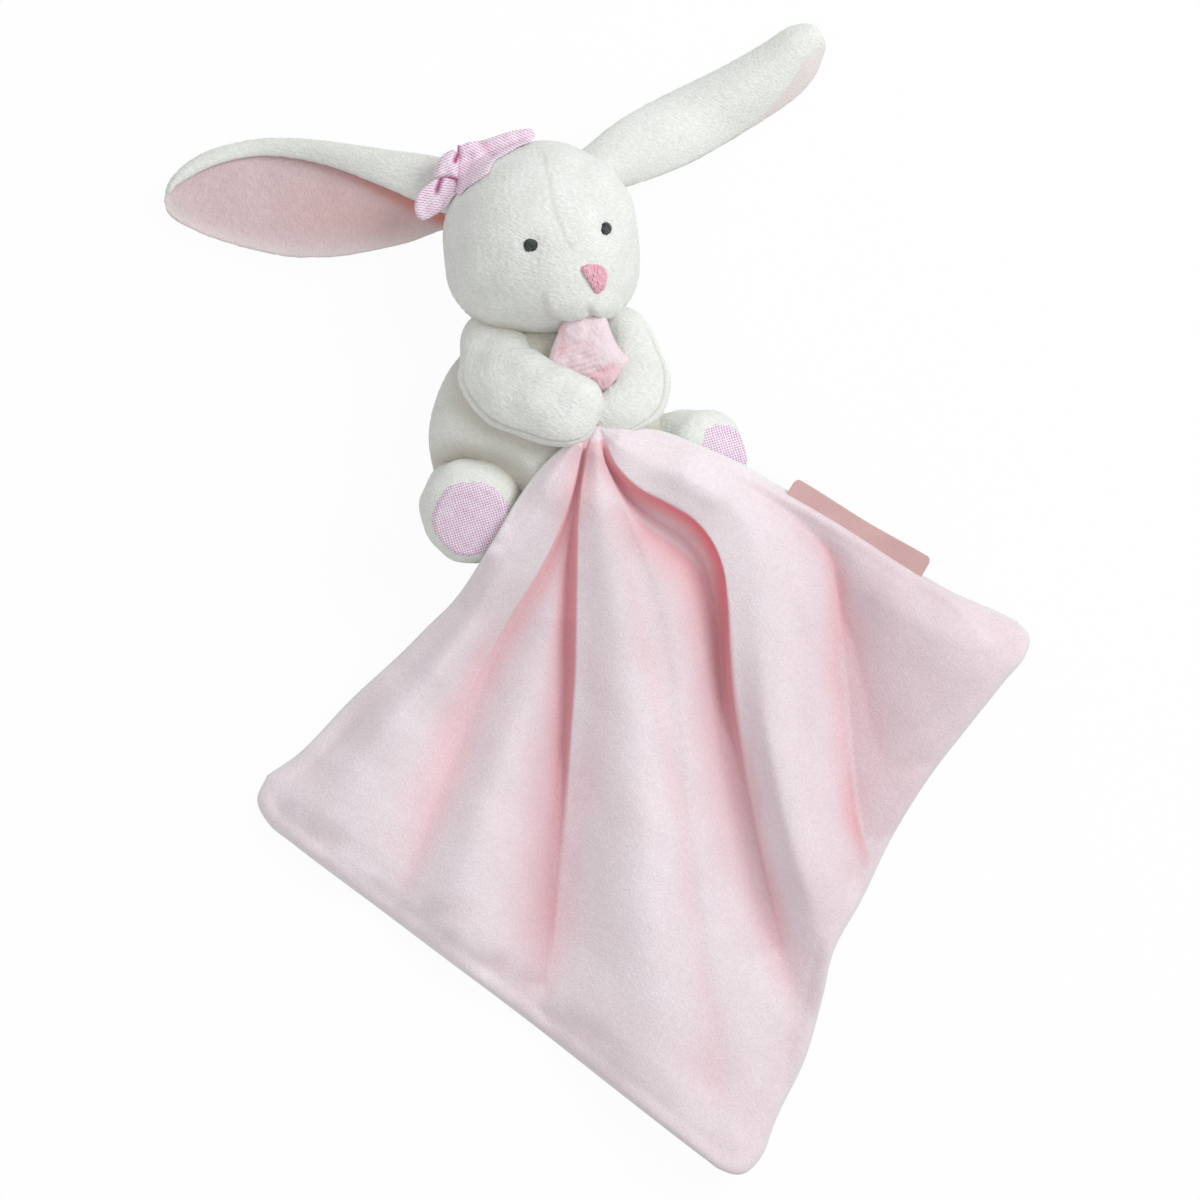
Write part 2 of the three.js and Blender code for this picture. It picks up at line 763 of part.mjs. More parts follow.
function distanceToRoute(place, route) {
  let best = { distance: Infinity, along: 0 };
  for (let i = 0; i + 1 < route.length; i += 1) {
    const a = onBlanket(route[i]);
    const b = onBlanket(route[i + 1]);
    const line = b.clone().sub(a);
    const t = Math.min(Math.max(place.clone().sub(a).dot(line) / line.lengthSq(), 0), 1);
    const distance = a.addScaledVector(line, t).distanceTo(place);
    if (distance < best.distance) {
      best = { distance, along: (i + t) / (route.length - 1) };
    }
  }
  return best;
}

// What the blanket lies over, also where the legs swing, seen from straight above
const underBlanket = [
  torsoForm(DRAPE_GAP, FINE_BALL),
  ...legGeometries(leftLeg, joints.left_hip),
  ...legGeometries(rightLeg, joints.right_hip),
].map((geometry) => new THREE.Mesh(geometry));

function legGeometries(line, joint) {
  return [0, 1 / 2, 1].map((share) => (
    legForm(line, DRAPE_GAP, sideSizes.fine).applyMatrix4(turnAbout(joint, share * joint.to))
  ));
}

function supportHeight(x, y) {
  const down = new THREE.Vector3(0, 0, -1);
  const probe = new THREE.Raycaster(new THREE.Vector3(x, y, 2 * HEAD_DEPTH), down);
  const hits = probe.intersectObjects(underBlanket, false);
  return hits.length > 0 ? hits[0].point.z : 0;
}

// Props of the tent that the cloth makes: places on the belly and feet, and their heights
function tentProps() {
  const props = [grip.clone()];
  const outline = Array.from({ length: 9 }, (_, i) => i / 8);
  for (const ray of outline) {
    for (const reach of outline) {
      const place = blanketPlace(ray, reach * TENT_SPREAD / outerEdge(ray).length());
      const prop = new THREE.Vector3(grip.x + place.x, grip.y + place.y, 0);
      prop.z = supportHeight(prop.x, prop.y);
      if (prop.z > 0) props.push(prop);
    }
  }
  return props;
}

const props = tentProps();

// Height of the underside of the cloth over the surface, with its folds
function blanketHeight(place) {
  const x = grip.x + place.x;
  const y = grip.y + place.y;
  const tent = Math.max(...props.map((prop) => (
    prop.z - CLOTH_SLOPE_SHARE * Math.hypot(prop.x - x, prop.y - y)
  )));
  const away = place.length() / BLANKET_SIDE;
  const [slackFrom, slackTo] = slackEndShares;
  const slackEnd = 1 - smooth((away - slackFrom) / (slackTo - slackFrom));
  const slack = CLOTH_SLACK * smooth(away / slackStartShare) * slackEnd;
  let height = Math.max(tent, 0) + slack;
  for (const { route, depth, width } of foldShares) {
    const near = distanceToRoute(place, route);
    const fadeOut = 1 - smooth((near.along - foldEndShare) / (1 - foldEndShare));
    const fade = smooth(near.along / foldStartShare) * fadeOut;
    height -= FOLD_DEPTH * depth * fade * Math.exp(-((near.distance / FOLD_WIDTH / width) ** 2));
  }
  return Math.max(height, supportHeight(x, y), 0);
}

function blanketLayer(bottom, top) {
  const points = [];
  const triangles = [];
  const columns = BLANKET_RAYS + 1;
  for (const level of [top, bottom]) {
    for (let i = 0; i <= BLANKET_RINGS; i += 1) {
      const reach = (i / BLANKET_RINGS) ** ringCrowdShare;
      for (let j = 0; j <= BLANKET_RAYS; j += 1) {
        const place = blanketPlace(j / BLANKET_RAYS, reach);
        const toRim = (1 - reach) * place.length() / BLANKET_RIM;
        const thin = 1 - rimDrawShare * (1 - smooth(toRim));
        const height = blanketHeight(place) + level * thin;
        points.push(new THREE.Vector3(grip.x + place.x, grip.y + place.y, height));
      }
    }
  }
  const under = columns * (BLANKET_RINGS + 1);
  for (let i = 0; i < BLANKET_RINGS; i += 1) {
    for (let j = 0; j < BLANKET_RAYS; j += 1) {
      const a = i * columns + j;
      const [b, c, d] = [a + 1, a + columns, a + columns + 1];
      triangles.push(a, c, d, a, d, b);
      triangles.push(under + a, under + d, under + c, under + a, under + b, under + d);
    }
  }
  const rim = [];
  for (let j = 0; j < BLANKET_RAYS; j += 1) rim.push(j);
  for (let i = 0; i < BLANKET_RINGS; i += 1) rim.push(i * columns + BLANKET_RAYS);
  for (let j = BLANKET_RAYS; j > 0; j -= 1) rim.push(BLANKET_RINGS * columns + j);
  for (let i = BLANKET_RINGS; i > 0; i -= 1) rim.push(i * columns);
  rim.forEach((a, i) => {
    const b = rim[(i + 1) % rim.length];
    triangles.push(a, b, under + b, a, under + b, under + a);
  });
  return geometryFrom(points, triangles);
}

// Label: a short ribbon that stands out of the upper right edge

function labelLine() {
  const rayAt = (reach) => blanketPlace(1, reach);
  const [from, to] = labelReachShares;
  const first = rayAt(from);
  const aim = rayAt(to).sub(first).normalize();
  const outward = new THREE.Vector2(-aim.y, aim.x);
  const swell = Math.max(...Array.from({ length: 9 }, (_, i) => (
    rayAt(from + (to - from) * i / 8).sub(first).dot(outward)
  )));
  first.addScaledVector(outward, swell + SEAT_GAP);
  const last = first.clone().addScaledVector(aim, LABEL_LENGTH);
  const lift = (place) => new THREE.Vector3(
    grip.x + place.x,
    grip.y + place.y,
    blanketHeight(place) + BLANKET_CLOTH,
  );
  return { start: lift(first), end: lift(last), outward };
}

const labelEdge = labelLine();
joints.label_seam = {
  at: labelEdge.start.clone(),
  axis: labelEdge.end.clone().sub(labelEdge.start).normalize(),
  to: LABEL_LIFT,
};

function label() {
  const outward = new THREE.Vector3(labelEdge.outward.x, labelEdge.outward.y, 0);
  const ring = (place, inset) => {
    const low = new THREE.Vector3(0, 0, -LABEL_THICKNESS);
    const outer = place.clone().addScaledVector(outward, LABEL_WIDTH - inset);
    const points = [place.clone(), outer.clone(), outer.add(low), place.clone().add(low)];
    const flat = [[0, 0], [LABEL_WIDTH, 0], [LABEL_WIDTH, -LABEL_THICKNESS], [0, -LABEL_THICKNESS]];
    points.forEach((point, i) => {
      point.section = new THREE.Vector2(...flat[i]);
    });
    return points.reverse();
  };
  return solidFrom(loft(labelCornerShares.map(({ along, inset }) => (
    ring(labelEdge.start.clone().lerp(labelEdge.end, along), inset * LABEL_WIDTH)
  ))));
}

// Neighbours that cut what lies against them

const { fine, coarse } = sideSizes;
const blanketGeometry = {
  front: blanketLayer(BLANKET_CLOTH + SEAM_GAP, 2 * BLANKET_CLOTH + SEAM_GAP),
  back: blanketLayer(0, BLANKET_CLOTH),
};
const blanketSpace = (grow) => blanketLayer(-grow, FOLD_DEPTH);
const headSweep = (grow) => swept(headForm(grow + FACET_SAG, COARSE_BALL), joints.neck, 1);
const torsoFromArms = swept(torsoForm(SEAT_GAP + FACET_SAG, COARSE_BALL), joints.shoulders, -1);

const blanketSweep = swept(blanketSpace(SEAT_GAP), joints.grip, 1, 2);

// Limb cover and its stuffing: the cover is open where it meets the torso
function coveredLimb(form, around, openings) {
  const outer = cut(solidFrom(form(0, fine)), around(0));
  const inner = cut(solidFrom(form(-PLUSH_THICKNESS, coarse)), around(PLUSH_THICKNESS));
  const filling = cut(
    solidFrom(form(-PLUSH_THICKNESS - SEAT_GAP, coarse)),
    around(PLUSH_THICKNESS + SEAT_GAP),
  );
  return { cover: cut(outer.subtract(inner), openings), stuffing: cut(filling, openings) };
}

const leftArm = coveredLimb(leftArmForm, (grow) => headSweep(grow + SEAT_GAP), torsoFromArms);
const rightArm = coveredLimb(
  rightArmForm,
  (grow) => [
    ...headSweep(grow + SEAT_GAP),
    solidFrom(leftArmForm(grow + SEAT_GAP + FACET_SAG, coarse)),
    solidFrom(tuftForm(grow + SEAT_GAP, coarse)),
  ],
  torsoFromArms,
);

function tuft() {
  return cut(
    solidFrom(tuftForm(0, coarse)),
    headSweep(SEAT_GAP),
    solidFrom(leftArmForm(SEAT_GAP + FACET_SAG, coarse)),
    torsoFromArms,
  );
}

function leg(line, joint) {
  const form = (grow, size) => legForm(line, grow, size);
  const around = (grow) => [
    ...swept(rightArmForm(grow + SEAT_GAP + FACET_SAG, coarse), joint, -1, 1),
    ...swept(blanketSpace(grow + SEAT_GAP), joint, -1),
  ];
  const openings = swept(torsoForm(SEAT_GAP + FACET_SAG, COARSE_BALL), joint, -1);
  const { cover, stuffing } = coveredLimb(form, around, openings);
  const from = line.sole.clone().addScaledVector(line.aim, -FOOT_EDGE - PLUSH_THICKNESS);
  const reach = FOOT_EDGE + 2 * PLUSH_THICKNESS;
  const hole = rodAlong(from, line.aim, SOLE_WIDTH / 2 + SEAM_GAP, reach);
  const disc = rodAlong(from, line.aim, SOLE_WIDTH / 2, reach);
  return { cover: cover.subtract(hole), stuffing, pad: cover.intersect(disc) };
}

const legs = { left: leg(leftLeg, joints.left_hip), right: leg(rightLeg, joints.right_hip) };

function torsoPanel(side) {
  const shell = cut(
    cut(solidFrom(torsoForm(0, FINE_BALL)), headSweep(SEAT_GAP), blanketSweep),
    cut(solidFrom(torsoForm(-PLUSH_THICKNESS, COARSE_BALL)), headSweep(SEAT_GAP + PLUSH_THICKNESS)),
  );
  const normal = new THREE.Vector3(0, 0, side);
  return shell.intersect(halfSpace(torsoCentre.clone().addScaledVector(normal, SEAM_GAP / 2), normal));
}

function torsoStuffing() {
  return cut(
    solidFrom(torsoForm(-PLUSH_THICKNESS - SEAM_GAP, COARSE_BALL)),
    headSweep(SEAT_GAP + PLUSH_THICKNESS + SEAM_GAP),
  );
}

function blanketLayerSolid(geometry) {
  return cut(
    solidFrom(geometry),
    swept(leftArmForm(SEAT_GAP + FACET_SAG, coarse), joints.grip, -1),
    swept(rightArmForm(SEAT_GAP + FACET_SAG, fine), joints.grip, -1),
    swept(tuftForm(SEAT_GAP, coarse), joints.grip, -1),
  );
}

// Finishes

function finish(colour, roughness) {
  return new THREE.MeshStandardMaterial({ color: colour, roughness, metalness: 0 });
}

const plush = () => finish('#f1f2ec', 0.95);
const lining = () => finish('#f6dcdf', 0.9);
const pinkVelour = () => finish('#f4dee2', 0.9);
const whiteVelour = () => finish('#f3efee', 0.9);
const wovenCotton = () => finish('#dba6cf', 0.85);
const filling = () => finish('#fbfbf8', 1);
const darkThread = () => finish('#3f4a4a', 0.6);
const pinkThread = () => finish('#f082a5', 0.55);
const labelSatin = () => finish('#d6aaaa', 0.5);

const group = new THREE.Group();

function add(name, solid, material) {
  const mesh = new THREE.Mesh(geometryOf(solid), material);
  mesh.name = name;
  group.add(mesh);
}

add('body_back_panel', torsoPanel(-1), plush());
add('body_front_panel', torsoPanel(1), plush());
add('body_stuffing', torsoStuffing(), filling());

add('head_left_panel', headPanel(-1), plush());
add('head_right_panel', headPanel(1), plush());
add('head_stuffing', headStuffing(), filling());
add('left_eye', facePatch(leftEyeShare, EYE_WIDTH, EYE_WIDTH, EYE_THICKNESS, 0), darkThread());
add('right_eye', facePatch(rightEyeShare, EYE_WIDTH, EYE_WIDTH, EYE_THICKNESS, 0), darkThread());
add('nose', facePatch(noseShare, NOSE_WIDTH, NOSE_HEIGHT, NOSE_THICKNESS, noseTaperShare), pinkThread());

add('left_ear_back', clearOfHead(leftEar(foldedEarBack), joints.left_ear), plush());
add('left_ear_lining', clearOfHead(leftEar(foldedEarLining), joints.left_ear), lining());
add('right_ear_back', clearOfHead(rightEar(archedEarBack), joints.right_ear), plush());
add('right_ear_lining', clearOfHead(rightEar(archedEarLining), joints.right_ear), lining());

add('bow_knot', cut(solidFrom(knotForm(0)), clearOfFace()), wovenCotton());
add('bow_left_end', bowEndSolid(bowEnds.left), wovenCotton());
add('bow_right_end', bowEndSolid(bowEnds.right), wovenCotton());

add('left_arm_cover', leftArm.cover, plush());
add('left_arm_stuffing', leftArm.stuffing, filling());
add('right_arm_cover', rightArm.cover, plush());
add('right_arm_stuffing', rightArm.stuffing, filling());
add('blanket_tuft', tuft(), pinkVelour());

for (const side of ['left', 'right']) {
  add(`${side}_leg_cover`, legs[side].cover, plush());
  add(`${side}_leg_stuffing`, legs[side].stuffing, filling());
  add(`${side}_sole_pad`, legs[side].pad, wovenCotton());
}

add('blanket_front', blanketLayerSolid(blanketGeometry.front), pinkVelour());
add('blanket_back', blanketLayerSolid(blanketGeometry.back), whiteVelour());
add('label', label(), labelSatin());

// The origin is the middle of the whole toy, on the surface it lies on
const extent = new THREE.Box3().setFromObject(group);
group.position.set(
  -(extent.min.x + extent.max.x) / 2,
  -(extent.min.y + extent.max.y) / 2,
  -extent.min.z,
);
group.userData.joints = joints;

export default group;
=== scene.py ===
# Looks of a comfort blanket lovey: a small plush rabbit that holds a square velour blanket.
# It lies on its back, seen from straight above. All lengths are in metres.

import json
import math

import bmesh
import bpy
import numpy as np
from mathutils import Matrix, Vector
from mathutils.bvhtree import BVHTree


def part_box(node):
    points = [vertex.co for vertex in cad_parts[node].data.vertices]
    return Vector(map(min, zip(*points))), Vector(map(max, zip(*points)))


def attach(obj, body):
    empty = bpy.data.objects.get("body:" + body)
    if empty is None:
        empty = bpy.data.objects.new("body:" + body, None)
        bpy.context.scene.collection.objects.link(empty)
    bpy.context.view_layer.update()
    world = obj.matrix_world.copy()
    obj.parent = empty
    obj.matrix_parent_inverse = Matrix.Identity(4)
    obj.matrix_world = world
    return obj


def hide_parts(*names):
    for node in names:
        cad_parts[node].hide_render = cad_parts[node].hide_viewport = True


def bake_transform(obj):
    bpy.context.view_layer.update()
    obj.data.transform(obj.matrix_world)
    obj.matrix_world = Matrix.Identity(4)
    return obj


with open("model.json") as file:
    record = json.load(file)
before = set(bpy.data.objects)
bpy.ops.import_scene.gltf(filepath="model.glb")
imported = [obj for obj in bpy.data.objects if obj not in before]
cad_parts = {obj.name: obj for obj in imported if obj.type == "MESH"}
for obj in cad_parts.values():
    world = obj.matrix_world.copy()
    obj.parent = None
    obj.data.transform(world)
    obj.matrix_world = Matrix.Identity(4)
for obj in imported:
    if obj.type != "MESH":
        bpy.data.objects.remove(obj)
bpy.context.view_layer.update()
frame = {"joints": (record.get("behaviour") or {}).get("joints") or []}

MM = 0.001

# What each sewn piece measures, as in the solids
TORSO_SIZE = np.array([75, 72, 45]) * MM
TORSO_TAPER = 0.08
TORSO_FLAT = 0.5 * MM
HEAD_SIZE = np.array([63, 62, 60]) * MM
HEAD_OFFSET = np.array([-1, 61.6, 7.5]) * MM
CHEEK_RISE = 3.6 * MM
MUZZLE_RISE = 2.9 * MM
ARM_WIDTH = 28 * MM
ARM_FLATNESS = 0.72
LEG_LENGTH = 36 * MM
FOOT_WIDTH = 34 * MM
FOOT_EDGE = 9 * MM
SOLE_WIDTH = 25.4 * MM
CLOTH_THICKNESS = 5 * MM
LOWEST = 0.2 * MM

# The photograph: a pixel's real width, and the pixel over the middle of the torso
PIXEL = 0.325 * MM
TORSO_PIXEL = np.array([545.1, 427.6])

back_low, back_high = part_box("body_back_panel")
TORSO = np.array([
    (back_low.x + back_high.x) / 2,
    back_low.y + TORSO_SIZE[1] / 2,
    TORSO_SIZE[2] / 2 - TORSO_FLAT,
])
HEAD = TORSO + HEAD_OFFSET


# Numbers and curves

def smooth(value):
    """A soft step from 0 to 1"""
    t = np.clip(value, 0, 1)
    return t * t * (3 - 2 * t)


def hump(distance, width):
    """A soft bump, 1 at no distance"""
    return np.exp(-((distance / width) ** 2))


def unit(vector):
    vector = np.asarray(vector, float)
    return vector / np.linalg.norm(vector, axis=-1, keepdims=True)


def from_photo(pixels):
    """Places on the surface that the photograph shows at these pixels"""
    away = (np.asarray(pixels, float) - TORSO_PIXEL) * PIXEL
    return TORSO[:2] + away * (1, -1)


def on_torso(share):
    """A place given in halves of the body's width and length from its middle, and in its whole depth"""
    return np.array([
        TORSO[0] + share[0] * TORSO_SIZE[0] / 2,
        TORSO[1] + share[1] * TORSO_SIZE[1] / 2,
        share[2] * TORSO_SIZE[2],
    ])


def evenly(points, count):
    """The same line with evenly spaced points"""
    steps = np.linalg.norm(np.diff(points, axis=0), axis=1)
    along = np.concatenate([[0], np.cumsum(steps)])
    wanted = np.linspace(0, along[-1], count)
    return np.stack([np.interp(wanted, along, column) for column in points.T], axis=1)


def spline(points, count):
    """Evenly spaced points on a smooth curve through the given ones"""
    points = np.asarray(points, float)
    ends = 2 * points[0] - points[1], 2 * points[-1] - points[-2]
    padded = np.vstack([ends[0], points, ends[1]])
    dense = []
    for a, b, c, d in zip(padded, padded[1:], padded[2:], padded[3:]):
        gaps = [max(np.linalg.norm(q - p), 1e-9) ** 0.5 for p, q in ((a, b), (b, c), (c, d))]
        t0, t1, t2, t3 = np.cumsum([0, *gaps])
        t = np.linspace(t1, t2, 24, endpoint=False)[:, None]
        ab = ((t1 - t) * a + (t - t0) * b) / (t1 - t0)
        bc = ((t2 - t) * b + (t - t1) * c) / (t2 - t1)
        cd = ((t3 - t) * c + (t - t2) * d) / (t3 - t2)
        abc = ((t2 - t) * ab + (t - t0) * bc) / (t2 - t0)
        bcd = ((t3 - t) * bc + (t - t1) * cd) / (t3 - t1)
        dense.append(((t2 - t) * abc + (t - t1) * bcd) / (t2 - t1))
    return evenly(np.vstack([*dense, points[-1:]]), count)


def tufted(points, seed):
    """The uneven surface of short pile"""
    return 0.05 * MM * lumps(points, 2 * MM, seed) + 0.05 * MM * lumps(points, 1.2 * MM, seed + 1)


def along_shares(values, t):
    """Smooth steps through evenly spaced values"""
    values = np.asarray(values, float)
    place = np.clip(t, 0, 1) * (len(values) - 1)
    first = np.minimum(place.astype(int), len(values) - 2)
    step = smooth(place - first)
    return values[first] * (1 - step) + values[first + 1] * step


def near_route(places, route):
    """For flat places: signed distance to a line, left of it positive, and the share of its length"""
    distance = np.full(len(places), np.inf)
    signed = np.zeros(len(places))
    along = np.zeros(len(places))
    for i, (a, b) in enumerate(zip(route[:-1], route[1:])):
        line = b - a
        away = places - a
        t = np.clip(away @ line / max(line @ line, 1e-12), 0, 1)
        off = away - t[:, None] * line
        length = np.linalg.norm(off, axis=1)
        side = np.sign(line[0] * away[:, 1] - line[1] * away[:, 0])
        closer = length < distance
        distance = np.where(closer, length, distance)
        signed = np.where(closer, side * length, signed)
        along = np.where(closer, (i + t) / (len(route) - 1), along)
    return signed, along


def lumps(points, size, seed):
    """Soft random unevenness between about -1 and 1, of a typical size"""
    chance = np.random.default_rng(seed)
    total = np.zeros(len(points))
    for _ in range(14):
        wave = unit(chance.normal(size=3)) * 2 * math.pi / size * chance.uniform(0.6, 1.5)
        total += np.sin(points @ wave + chance.uniform(0, 2 * math.pi))
    return total / 3.2


# Meshes

def make_piece(name, points, faces, finish):
    mesh = bpy.data.meshes.new(name)
    mesh.from_pydata(np.asarray(points).tolist(), [], faces)
    mesh.validate()
    mesh.materials.append(finish)
    mesh.shade_smooth()
    piece = bpy.data.objects.new(name, mesh)
    bpy.context.scene.collection.objects.link(piece)
    return piece


def points_of(piece):
    flat = np.empty(len(piece.data.vertices) * 3, np.float32)
    piece.data.vertices.foreach_get("co", flat)
    return flat.reshape(-1, 3).astype(float)


def normals_of(piece):
    flat = np.empty(len(piece.data.vertices) * 3, np.float32)
    piece.data.vertices.foreach_get("normal", flat)
    return flat.reshape(-1, 3).astype(float)


def kept_above_floor(points):
    """The piece is flat where it rests"""
    points[:, 2] = np.maximum(points[:, 2], LOWEST)
    return points


def set_points(piece, points):
    piece.data.vertices.foreach_set("co", points.astype(np.float32).ravel())
    piece.data.update()


def raise_skin(piece, amount):
    """Moves each point outwards by its own amount"""
    set_points(piece, points_of(piece) + normals_of(piece) * np.asarray(amount)[:, None])


def mark(piece, name, values):
    """Keeps a value between 0 and 1 at each point for the material to read"""
    attribute = piece.data.attributes.new(name, "FLOAT", "POINT")
    attribute.data.foreach_set("value", np.asarray(values, np.float32))


def grid_faces(rows, columns, wrap, first=0, flip=False):
    """Quads between rows of points, from the point with this number on"""
    faces = []
    for i in range(rows - 1):
        for j in range(columns if wrap else columns - 1):
            a = first + i * columns + j
            b = first + i * columns + (j + 1) % columns
            quad = (a, b, b + columns, a + columns)
            faces.append(quad[::-1] if flip else quad)
    return faces


def closed_tube(loops):
    """Points and faces of a closed body through loops, with a point at each end"""
    rows, columns = loops.shape[:2]
    points = np.vstack([loops.reshape(-1, 3), loops[0].mean(0), loops[-1].mean(0)])
    start, end = rows * columns, rows * columns + 1
    faces = grid_faces(rows, columns, wrap=True)
    for j in range(columns):
        following = (j + 1) % columns
        faces.append((start, following, j))
        last = (rows - 1) * columns
        faces.append((end, last + j, last + following))
    return points, faces


def face_outwards(piece):
    work = bmesh.new()
    work.from_mesh(piece.data)
    bmesh.ops.recalc_face_normals(work, faces=work.faces)
    work.to_mesh(piece.data)
    work.free()
    piece.data.shade_smooth()


def ball_directions(halvings):
    work = bmesh.new()
    bmesh.ops.create_icosphere(work, subdivisions=halvings, radius=1)
    points = np.array([v.co for v in work.verts])
    faces = [[v.index for v in f.verts] for f in work.faces]
    work.free()
    return unit(points), faces


def surface_of(*pieces):
    """A tree for rays, from the meshes of these pieces"""
    points, faces = [], []
    for piece in pieces:
        faces += [[i + len(points) for i in p.vertices] for p in piece.data.polygons]
        points += [v.co.copy() for v in piece.data.vertices]
    return BVHTree.FromPolygons(points, faces)


def drop_on(tree, places):
    """Heights and normals of a surface under flat places, seen from above; the floor where it ends"""
    heights = np.zeros(len(places))
    normals = np.tile([0.0, 0.0, 1.0], (len(places), 1))
    for i, (x, y) in enumerate(places):
        hit, normal, _, _ = tree.ray_cast(Vector((x, y, 1)), Vector((0, 0, -1)))
        if hit is not None:
            heights[i] = hit.z
            normals[i] = normal
    return heights, normals


# Materials

def colour(text):
    """Linear colour of a hex code"""
    values = [int(text[i:i + 2], 16) / 255 for i in (1, 3, 5)]
    return (*[v / 12.92 if v <= 0.04045 else ((v + 0.055) / 1.055) ** 2.4 for v in values], 1)


class Value:
    """A number that varies over a surface and takes part in Python sums"""

    def __init__(self, finish, socket):
        self.finish = finish
        self.socket = socket

    def sum_with(self, operation, *others):
        values = dict(enumerate((self, *others)))
        return self.finish.node("Math", {"operation": operation}, values)

    def reversed_sum(self, operation, other):
        return self.finish.node("Math", {"operation": operation}, {0: other, 1: self})

    def __add__(self, other):
        return self.sum_with("ADD", other)

    def __radd__(self, other):
        return self.sum_with("ADD", other)

    def __sub__(self, other):
        return self.sum_with("SUBTRACT", other)

    def __rsub__(self, other):
        return self.reversed_sum("SUBTRACT", other)

    def __mul__(self, other):
        return self.sum_with("MULTIPLY", other)

    def __rmul__(self, other):
        return self.sum_with("MULTIPLY", other)

    def clamped(self):
        return self.finish.node("Clamp", {}, {"Value": self})

    def sine(self):
        return self.sum_with("SINE")


class Finish:
    """One material and its nodes"""

    def __init__(self, name, roughness, sheen=0.0):
        self.material = bpy.data.materials.new(name)
        self.material.use_nodes = True
        self.tree = self.material.node_tree
        self.shader = self.tree.nodes["Principled BSDF"]
        self.shader.inputs["Roughness"].default_value = roughness
        self.shader.inputs["Specular IOR Level"].default_value = 0.2
        self.shader.inputs["Sheen Weight"].default_value = sheen
        self.shader.inputs["Sheen Roughness"].default_value = 0.5

    def plug(self, value, socket):
        if isinstance(value, Value):
            self.tree.links.new(value.socket, socket)
        else:
            socket.default_value = value

    def node(self, kind, settings, sockets, output=0):
        node = self.tree.nodes.new("ShaderNode" + kind)
        for key, value in settings.items():
            setattr(node, key, value)
        for key, value in sockets.items():
            self.plug(value, node.inputs[key])
        return Value(self, node.outputs[output])

    def place(self, turn=0.0, stretch=1.0):
        """Place on the piece, in a frame turned about the vertical and stretched along its second axis"""
        where = self.node("TexCoord", {}, {}, "Object")
        sockets = {"Vector": where, "Rotation": (0, 0, turn), "Scale": (1, stretch, 1)}
        return self.node("Mapping", {"vector_type": "TEXTURE"}, sockets)

    def noise(self, where, size, detail=2.0, contrast=1.0):
        """Noise whose spots are about this wide"""
        sockets = {"Vector": where, "Scale": 1 / size, "Detail": detail, "Roughness": 0.6}
        plain = self.node("TexNoise", {}, sockets, "Fac")
        return ((plain - 0.5) * contrast + 0.5).clamped()

    def mix(self, share, first, second, blend="MIX"):
        settings = {"data_type": "RGBA", "blend_type": blend}
        return self.node("Mix", settings, {0: share, 6: first, 7: second}, 2)

    def marked(self, name):
        """What the piece's own marks say at this place"""
        return self.node("Attribute", {"attribute_name": name}, {}, "Fac").clamped()

    def paint(self, colour_value):
        self.plug(colour_value, self.shader.inputs["Base Color"])

    def bump(self, height, depth, strength=1.0):
        sockets = {"Height": height, "Distance": depth, "Strength": strength}
        self.plug(self.node("Bump", {}, sockets), self.shader.inputs["Normal"])


# Painted shade, multiplied into the blanket's valleys and towards two of its corners
PAINTED_SHADE_TONE = colour("#d6b3b9")
# Painted shade in the creases of the ribbon
CREASE_SHADE_WEAVE = colour("#b0407f")


def pile_finish(name, light, shade, crease, rim, nap_turn, grain, combing, depth):
    """Short pile: fine tufts, partly combed one way, over wide patches where the nap leans. It is whiter
    along a rim, and has painted shade where its marks say: redder or warmer in a fold, and darker in the
    blanket's valleys"""
    finish = Finish(name, roughness=0.95, sheen=0.25)
    tufts = finish.noise(finish.place(), grain, 3, 1.9)
    combed = finish.noise(finish.place(nap_turn, 3.6), grain, 2, 2.6)
    patches = finish.noise(finish.place(nap_turn, 2), 13 * MM, 2, 1.8)
    surface = tufts * (1 - combing) + combed * combing
    tone = surface * 0.75 + patches * 0.25
    base = finish.mix(tone, shade, light)
    worn = finish.mix(finish.marked("rim"), base, rim)
    # Painted shade: the crease colour is mixed in by the fold marks
    deep = finish.mix(finish.marked("fold"), worn, crease)
    # Painted shade, multiplied in where the marks say
    finish.paint(finish.mix(finish.marked("painted_valley_shade"), deep, PAINTED_SHADE_TONE, "MULTIPLY"))
    finish.bump(surface, depth)
    return finish.material


def woven_finish(name, light, dark, yarn, turn, ribbed):
    """Plain weave of light and coloured yarns; the more ribbed, the more its lines run one way"""
    finish = Finish(name, roughness=0.8, sheen=0.3)
    wander = finish.noise(finish.place(), 3 * MM, 1)
    where = finish.place(turn)
    across = finish.node("SeparateXYZ", {}, {"Vector": where}, "X") + wander * (0.5 * MM)
    along = finish.node("SeparateXYZ", {}, {"Vector": where}, "Y") + wander * (0.4 * MM)
    warp = (across * (math.pi / yarn)).sine()
    weft = (along * (math.pi / yarn)).sine()
    ribs = (along * (2 * math.pi / yarn)).sine()
    crossing = (warp * weft * (1.8 * (1 - ribbed)) + ribs * (0.8 * ribbed) + 0.36).clamped()
    slubs = finish.noise(where, yarn * 2.4, 2, 2)
    patches = finish.noise(where, 5 * MM, 1, 2)
    tone = crossing * 0.7 + slubs * 0.2 + patches * 0.1
    base = finish.mix(tone, light, dark)
    # Painted shade in the ribbon's creases, from its fold marks
    finish.paint(finish.mix(finish.marked("fold"), base, CREASE_SHADE_WEAVE))
    finish.bump(warp * warp * 0.5 + weft * weft * 0.5 + slubs * 0.3, 0.08 * MM)
    return finish.material


def thread_finish(name, light, dark, turn):
    """Satin stitch: shiny threads side by side"""
    finish = Finish(name, roughness=0.5, sheen=0.3)
    strands = finish.noise(finish.place(turn, 7), 0.5 * MM, 2, 2.8)
    finish.paint(finish.mix(strands, dark, light))
    finish.bump(strands, 0.35 * MM)
    return finish.material


